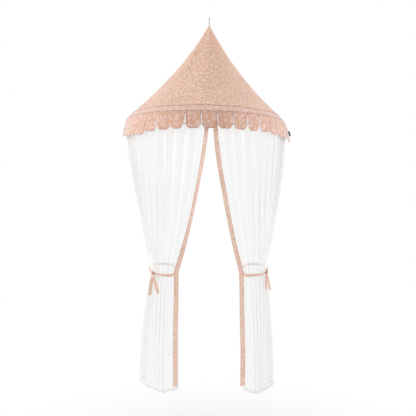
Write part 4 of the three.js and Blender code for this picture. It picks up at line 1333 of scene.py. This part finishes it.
# tie-backs
tiePlan = {
    "offset": 0.0026, "taper": 0.05, "columns": 150, "closingColumns": 60, "cloth": 0.0012,
    "closing": [(0.05, -1.22), (-0.6, -0.9), (-1.05, -0.2), (-1.25, 0.6)], "tuck": 0.0013, "rows": 6,
    "pinchReach": 0.03, "pinch": 0.35,  # the tape is drawn narrow at its knot
    "bow": (0.0010, 0.0016), "twist": (0.0004, 60), "slack": 0.0010, "sway": (0.0005, 35),
    "printShift": 0.2, "hemShift": 0.004,
}


def tieOut(u):
    return drapePlan["waistFold"] * smooth(u / tiePlan["taper"]) + tiePlan["offset"]


def makeTie(name, side, tape):
    plan, tie = drapePlan, tiePlan
    u = np.linspace(0, 1, tie["columns"] + 1)
    level = np.ones_like(u)
    run = basePoints(side, u, level) + outwardOf(side, u, level) * tieOut(u)[:, None]
    closing = bunchWay(tuple(run[-1, :2]), (side["waistOut"], plan["waistFront"]),
                       plan["waistHalf"], tie["closing"])
    closing += [(side["trimWaist"], plan["trimWaistFront"] - tie["tuck"])]
    inner = curveThrough(closing, np.linspace(0, 1, tie["closingColumns"] + 1)[1:])
    plane = np.vstack([run[:, :2], inner])
    way = np.gradient(plane, axis=0)
    out = np.stack([-way[:, 1], way[:, 0]], axis=1)
    out /= np.linalg.norm(out, axis=1)[:, None]
    along = lengthAlong(plane)
    knot = Vector(joints[f"{name}_tail_a_swing"]["pos_m"])
    knotAt = np.argmin(np.hypot(plane[:, 0] - abs(knot.x), plane[:, 1] + knot.y))
    pinch = np.exp(-((along - along[knotAt]) / tie["pinchReach"]) ** 2)
    t = np.linspace(-0.5, 0.5, tie["rows"] + 1)[:, None]
    width = plan["tieWidth"] * (1 - tie["pinch"] * pinch)
    bow, knotBow = tie["bow"]
    depth, change = tie["twist"]
    cup = (bow + knotBow * pinch) * (1 - (2 * t) ** 2) + depth * np.sin(change * along) * t
    slack = tie["slack"] * np.sin(math.pi * np.clip(along / along[knotAt], 0, 1))
    depth, change = tie["sway"]
    x = plane[:, 0] + out[:, 0] * cup
    y = plane[:, 1] + out[:, 1] * cup
    z = tieHeight(plane[:, 1]) - t * width - slack + depth * np.sin(change * along)
    points = stack(side["sign"] * x, -y, z)
    cloth = stack(along + side["sign"] * tie["printShift"], -t * plan["tieWidth"])
    hem = stack((0.5 - np.abs(t)) * plan["tieWidth"] + tie["hemShift"], along)
    band = mirroredSheet(side, f"tieback_band_{name}_tape", points, cloth, hem, tape, tie["cloth"])
    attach(band, f"{name}_drape")
    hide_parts(f"tieback_band_{name}")


# the tape's own directions at a knot: out of the bunch, down, and across towards the outside
def knotFrame(name, side):
    joint = joints[f"{name}_tail_a_swing"]
    centre = np.array(joint["pos_m"])
    normal = np.array(joint["axis"])
    across = np.cross([0, 0, 1.0], normal) * side["sign"]
    return centre, normal / np.linalg.norm(normal), across / np.linalg.norm(across)


knotPlan = {
    "radius": 0.010, "core": 0.0075, "coreShares": (1.0, 0.62, 0.85, 1),
    # each wrap of the tape: its ring, half its thickness, its tilt and lean in degrees, its middle
    "wraps": [
        (0.0068, 0.0032, 62, 22, (0, 0, 0.0004)),
        (0.0060, 0.0029, -48, -14, (0.0006, 0.0006, -0.0012)),
    ],
    "wrapShares": (1.08, 0.8, 1, 1),
    # a small loop of tape stands above the right-hand knot
    "ear": (0.0058, 0.0022), "earSide": "right", "earMiddle": (0.0035, 0, 0.0105),
    "earLean": math.radians(-24), "earShares": (0.62, 1.5, 1.15, 1),
    "grain": 0.0006, "smoothRounds": 3, "smoothAngle": math.radians(60), "hemMap": 0.05,
}


def tapeRing(ring, thick, place):
    bpy.ops.mesh.primitive_torus_add(major_radius=ring, minor_radius=thick,
                                     major_segments=40, minor_segments=16)
    bpy.context.object.data.transform(place)
    return bpy.context.object


def makeKnot(name, side, tape):
    plan = knotPlan
    centre, normal, across = knotFrame(name, side)
    turn = Matrix((across, normal, (0, 0, 1))).transposed().to_4x4()
    bpy.ops.mesh.primitive_uv_sphere_add(segments=32, ring_count=20, radius=plan["core"])
    knot = bpy.context.object
    knot.data.transform(Matrix.Diagonal(plan["coreShares"]))
    parts = []
    for ring, thick, tilt, lean, middle in plan["wraps"]:
        place = Matrix.Translation(middle) @ Matrix.Diagonal(plan["wrapShares"])
        place = place @ Matrix.Rotation(math.radians(lean), 4, "Y")
        place = place @ Matrix.Rotation(math.radians(tilt), 4, "X")
        parts.append(tapeRing(ring, thick, place))
    if name == plan["earSide"]:
        place = Matrix.Translation(plan["earMiddle"]) @ Matrix.Rotation(plan["earLean"], 4, "Y")
        place = place @ Matrix.Diagonal(plan["earShares"]) @ Matrix.Rotation(math.pi / 2, 4, "X")
        parts.append(tapeRing(*plan["ear"], place))
    choose(knot, *parts)
    bpy.ops.object.join()
    reshape(knot, "REMESH", mode="VOXEL", voxel_size=plan["grain"])
    reshape(knot, "SMOOTH", iterations=plan["smoothRounds"])
    knot.data.transform(Matrix.Translation(Vector(centre)) @ turn)
    knot.name = f"tieback_knot_{name}_tape"
    faceOutwards(knot)
    flatMaps(knot, centre)
    knot.data.materials.clear()
    knot.data.materials.append(tape)
    bpy.ops.object.shade_smooth_by_angle(angle=plan["smoothAngle"])
    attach(knot, f"{name}_drape")
    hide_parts(f"tieback_knot_{name}")


# the print laid flat on a lump, with no stitch line near it
def flatMaps(piece, centre):
    mesh = piece.data
    while mesh.uv_layers:
        mesh.uv_layers.remove(mesh.uv_layers[0])
    places = np.empty(len(mesh.vertices) * 3, dtype=np.float32)
    mesh.vertices.foreach_get("co", places)
    places = places.reshape(-1, 3) - np.array(centre, dtype=np.float32)
    corners = np.empty(len(mesh.loops), dtype=np.int32)
    mesh.loops.foreach_get("vertex_index", corners)
    cloth = np.stack([places[:, 0] + places[:, 1], places[:, 2]], axis=1)[corners]
    for layerName, values in (("cloth", cloth), ("hem", np.full_like(cloth, knotPlan["hemMap"]))):
        layer = mesh.uv_layers.new(name=layerName)
        layer.data.foreach_set("uv", values.astype(np.float32).ravel())


tailPlan = {
    "rows": 40, "columns": 8, "layer": 0.0018, "slant": 0.08,
    "leave": 0.55,  # where a tail leaves its knot, as a share of the knot's radius
    "gathered": 0.5, "spreadReach": 0.03, "turnReach": 0.35,
    "outward": (0.0016, 2.3), "bow": (0.0010, 0.5), "underShare": -0.3, "aside": (0.003, 3.0, 1.5),
    "printShift": 0.1, "hemShift": 0.004,
}


def makeTails(name, side, tape):
    plan, tieWidth, knotRadius = tailPlan, drapePlan["tieWidth"], knotPlan["radius"]
    centre, normal, across = knotFrame(name, side)
    t = np.linspace(0, 1, plan["rows"] + 1)[:, None]
    s = np.linspace(-0.5, 0.5, plan["columns"] + 1)[None, :]
    turned = side["tailTurn"] * smooth(t / plan["turnReach"])[..., None]
    for order, (letter, (length, splay)) in enumerate(side["tails"].items()):
        down = np.array([0, 0, -math.cos(splay)]) + across * math.sin(splay)
        flat = np.cross(down, normal)
        facing = np.array([abs(flat[0]) / flat[0], 0, 0])  # the tape turns its face to the room as it falls
        facing = facing - down * down.dot(facing)
        layer = centre + normal * (plan["layer"] if order else -plan["layer"])
        spread = mix(plan["gathered"], side["tailFlare"], smooth(t * length / plan["spreadReach"])) * tieWidth
        below = length + knotRadius * (1 - plan["leave"])
        fallen = knotRadius * plan["leave"] + below * t * (1 + plan["slant"] * s * t)
        wide = mix(flat, facing / np.linalg.norm(facing), turned)
        wide = wide / np.linalg.norm(wide, axis=-1, keepdims=True)
        depth, change = plan["outward"]
        bow, bowReach = plan["bow"]
        outward = depth * np.sin(change * t + order) * t
        outward = outward + bow * (1 - (2 * s) ** 2) * (1 - smooth(t / bowReach))
        outward = outward * (1 if order else plan["underShare"])
        depth, change, phase = plan["aside"]
        aside = depth * np.sin(change * t + phase * order) * t
        points = layer + down * fallen[..., None] + normal * outward[..., None]
        points = points + wide * (s * spread + aside)[..., None]
        cloth = stack(s * tieWidth + plan["printShift"] * order, -length * t)
        hem = stack((0.5 - np.abs(s)) * tieWidth + plan["hemShift"], length * t)
        points, cloth, hem = points[:, ::-1], cloth[:, ::-1], hem[:, ::-1]
        tail = clothSheet(f"tieback_tail_{letter}_{name}_tape", points, cloth, hem, tape, tiePlan["cloth"])
        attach(tail, f"{name}_tail_{letter}")
        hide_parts(f"tieback_tail_{letter}_{name}")


bpy.context.scene.view_settings.view_transform = "Standard"
makeCamera()
makeLights()
makeSurround()
makeFloor()
print("camera, light and floor done")

cotton = printedCotton("printedPlainWeaveCotton", hoodColours)
valanceShadedCotton = printedCotton("printedCottonShadedValance", valanceShadedColours)
bindingCotton = printedCotton("printedBindingCotton", bindingColours)
tieCotton = printedCotton("printedTieCotton", tieColours)
knotCotton = printedCotton("tieCottonPaintedKnotShade", knotShadeColours)
tulle = sheerTulle()
tape = gatheringTape()
steel = hoopFinish(hoopFinishes["steel"])
print("materials done")

makeHangCord(twistedCord())
makeHood(cotton)
makeBand(valanceShadedCotton)
makeScallops(valanceShadedCotton)
makeLabel(wovenLabel())
print("crown cloth done")
makeHoop(steel)
makeCornersAndBar(steel, hoopFinish(hoopFinishes["plastic"]))
print("hoop done")
for name, side in sidePlans.items():
    makeHeaderTape(name, side, tape)
    makeBinding(name, side, bindingCotton)
    makeCurtain(name, side, tulle)
    makeTie(name, side, tieCotton)
    makeKnot(name, side, knotCotton)
    makeTails(name, side, tieCotton)
    print(name, "curtain done")
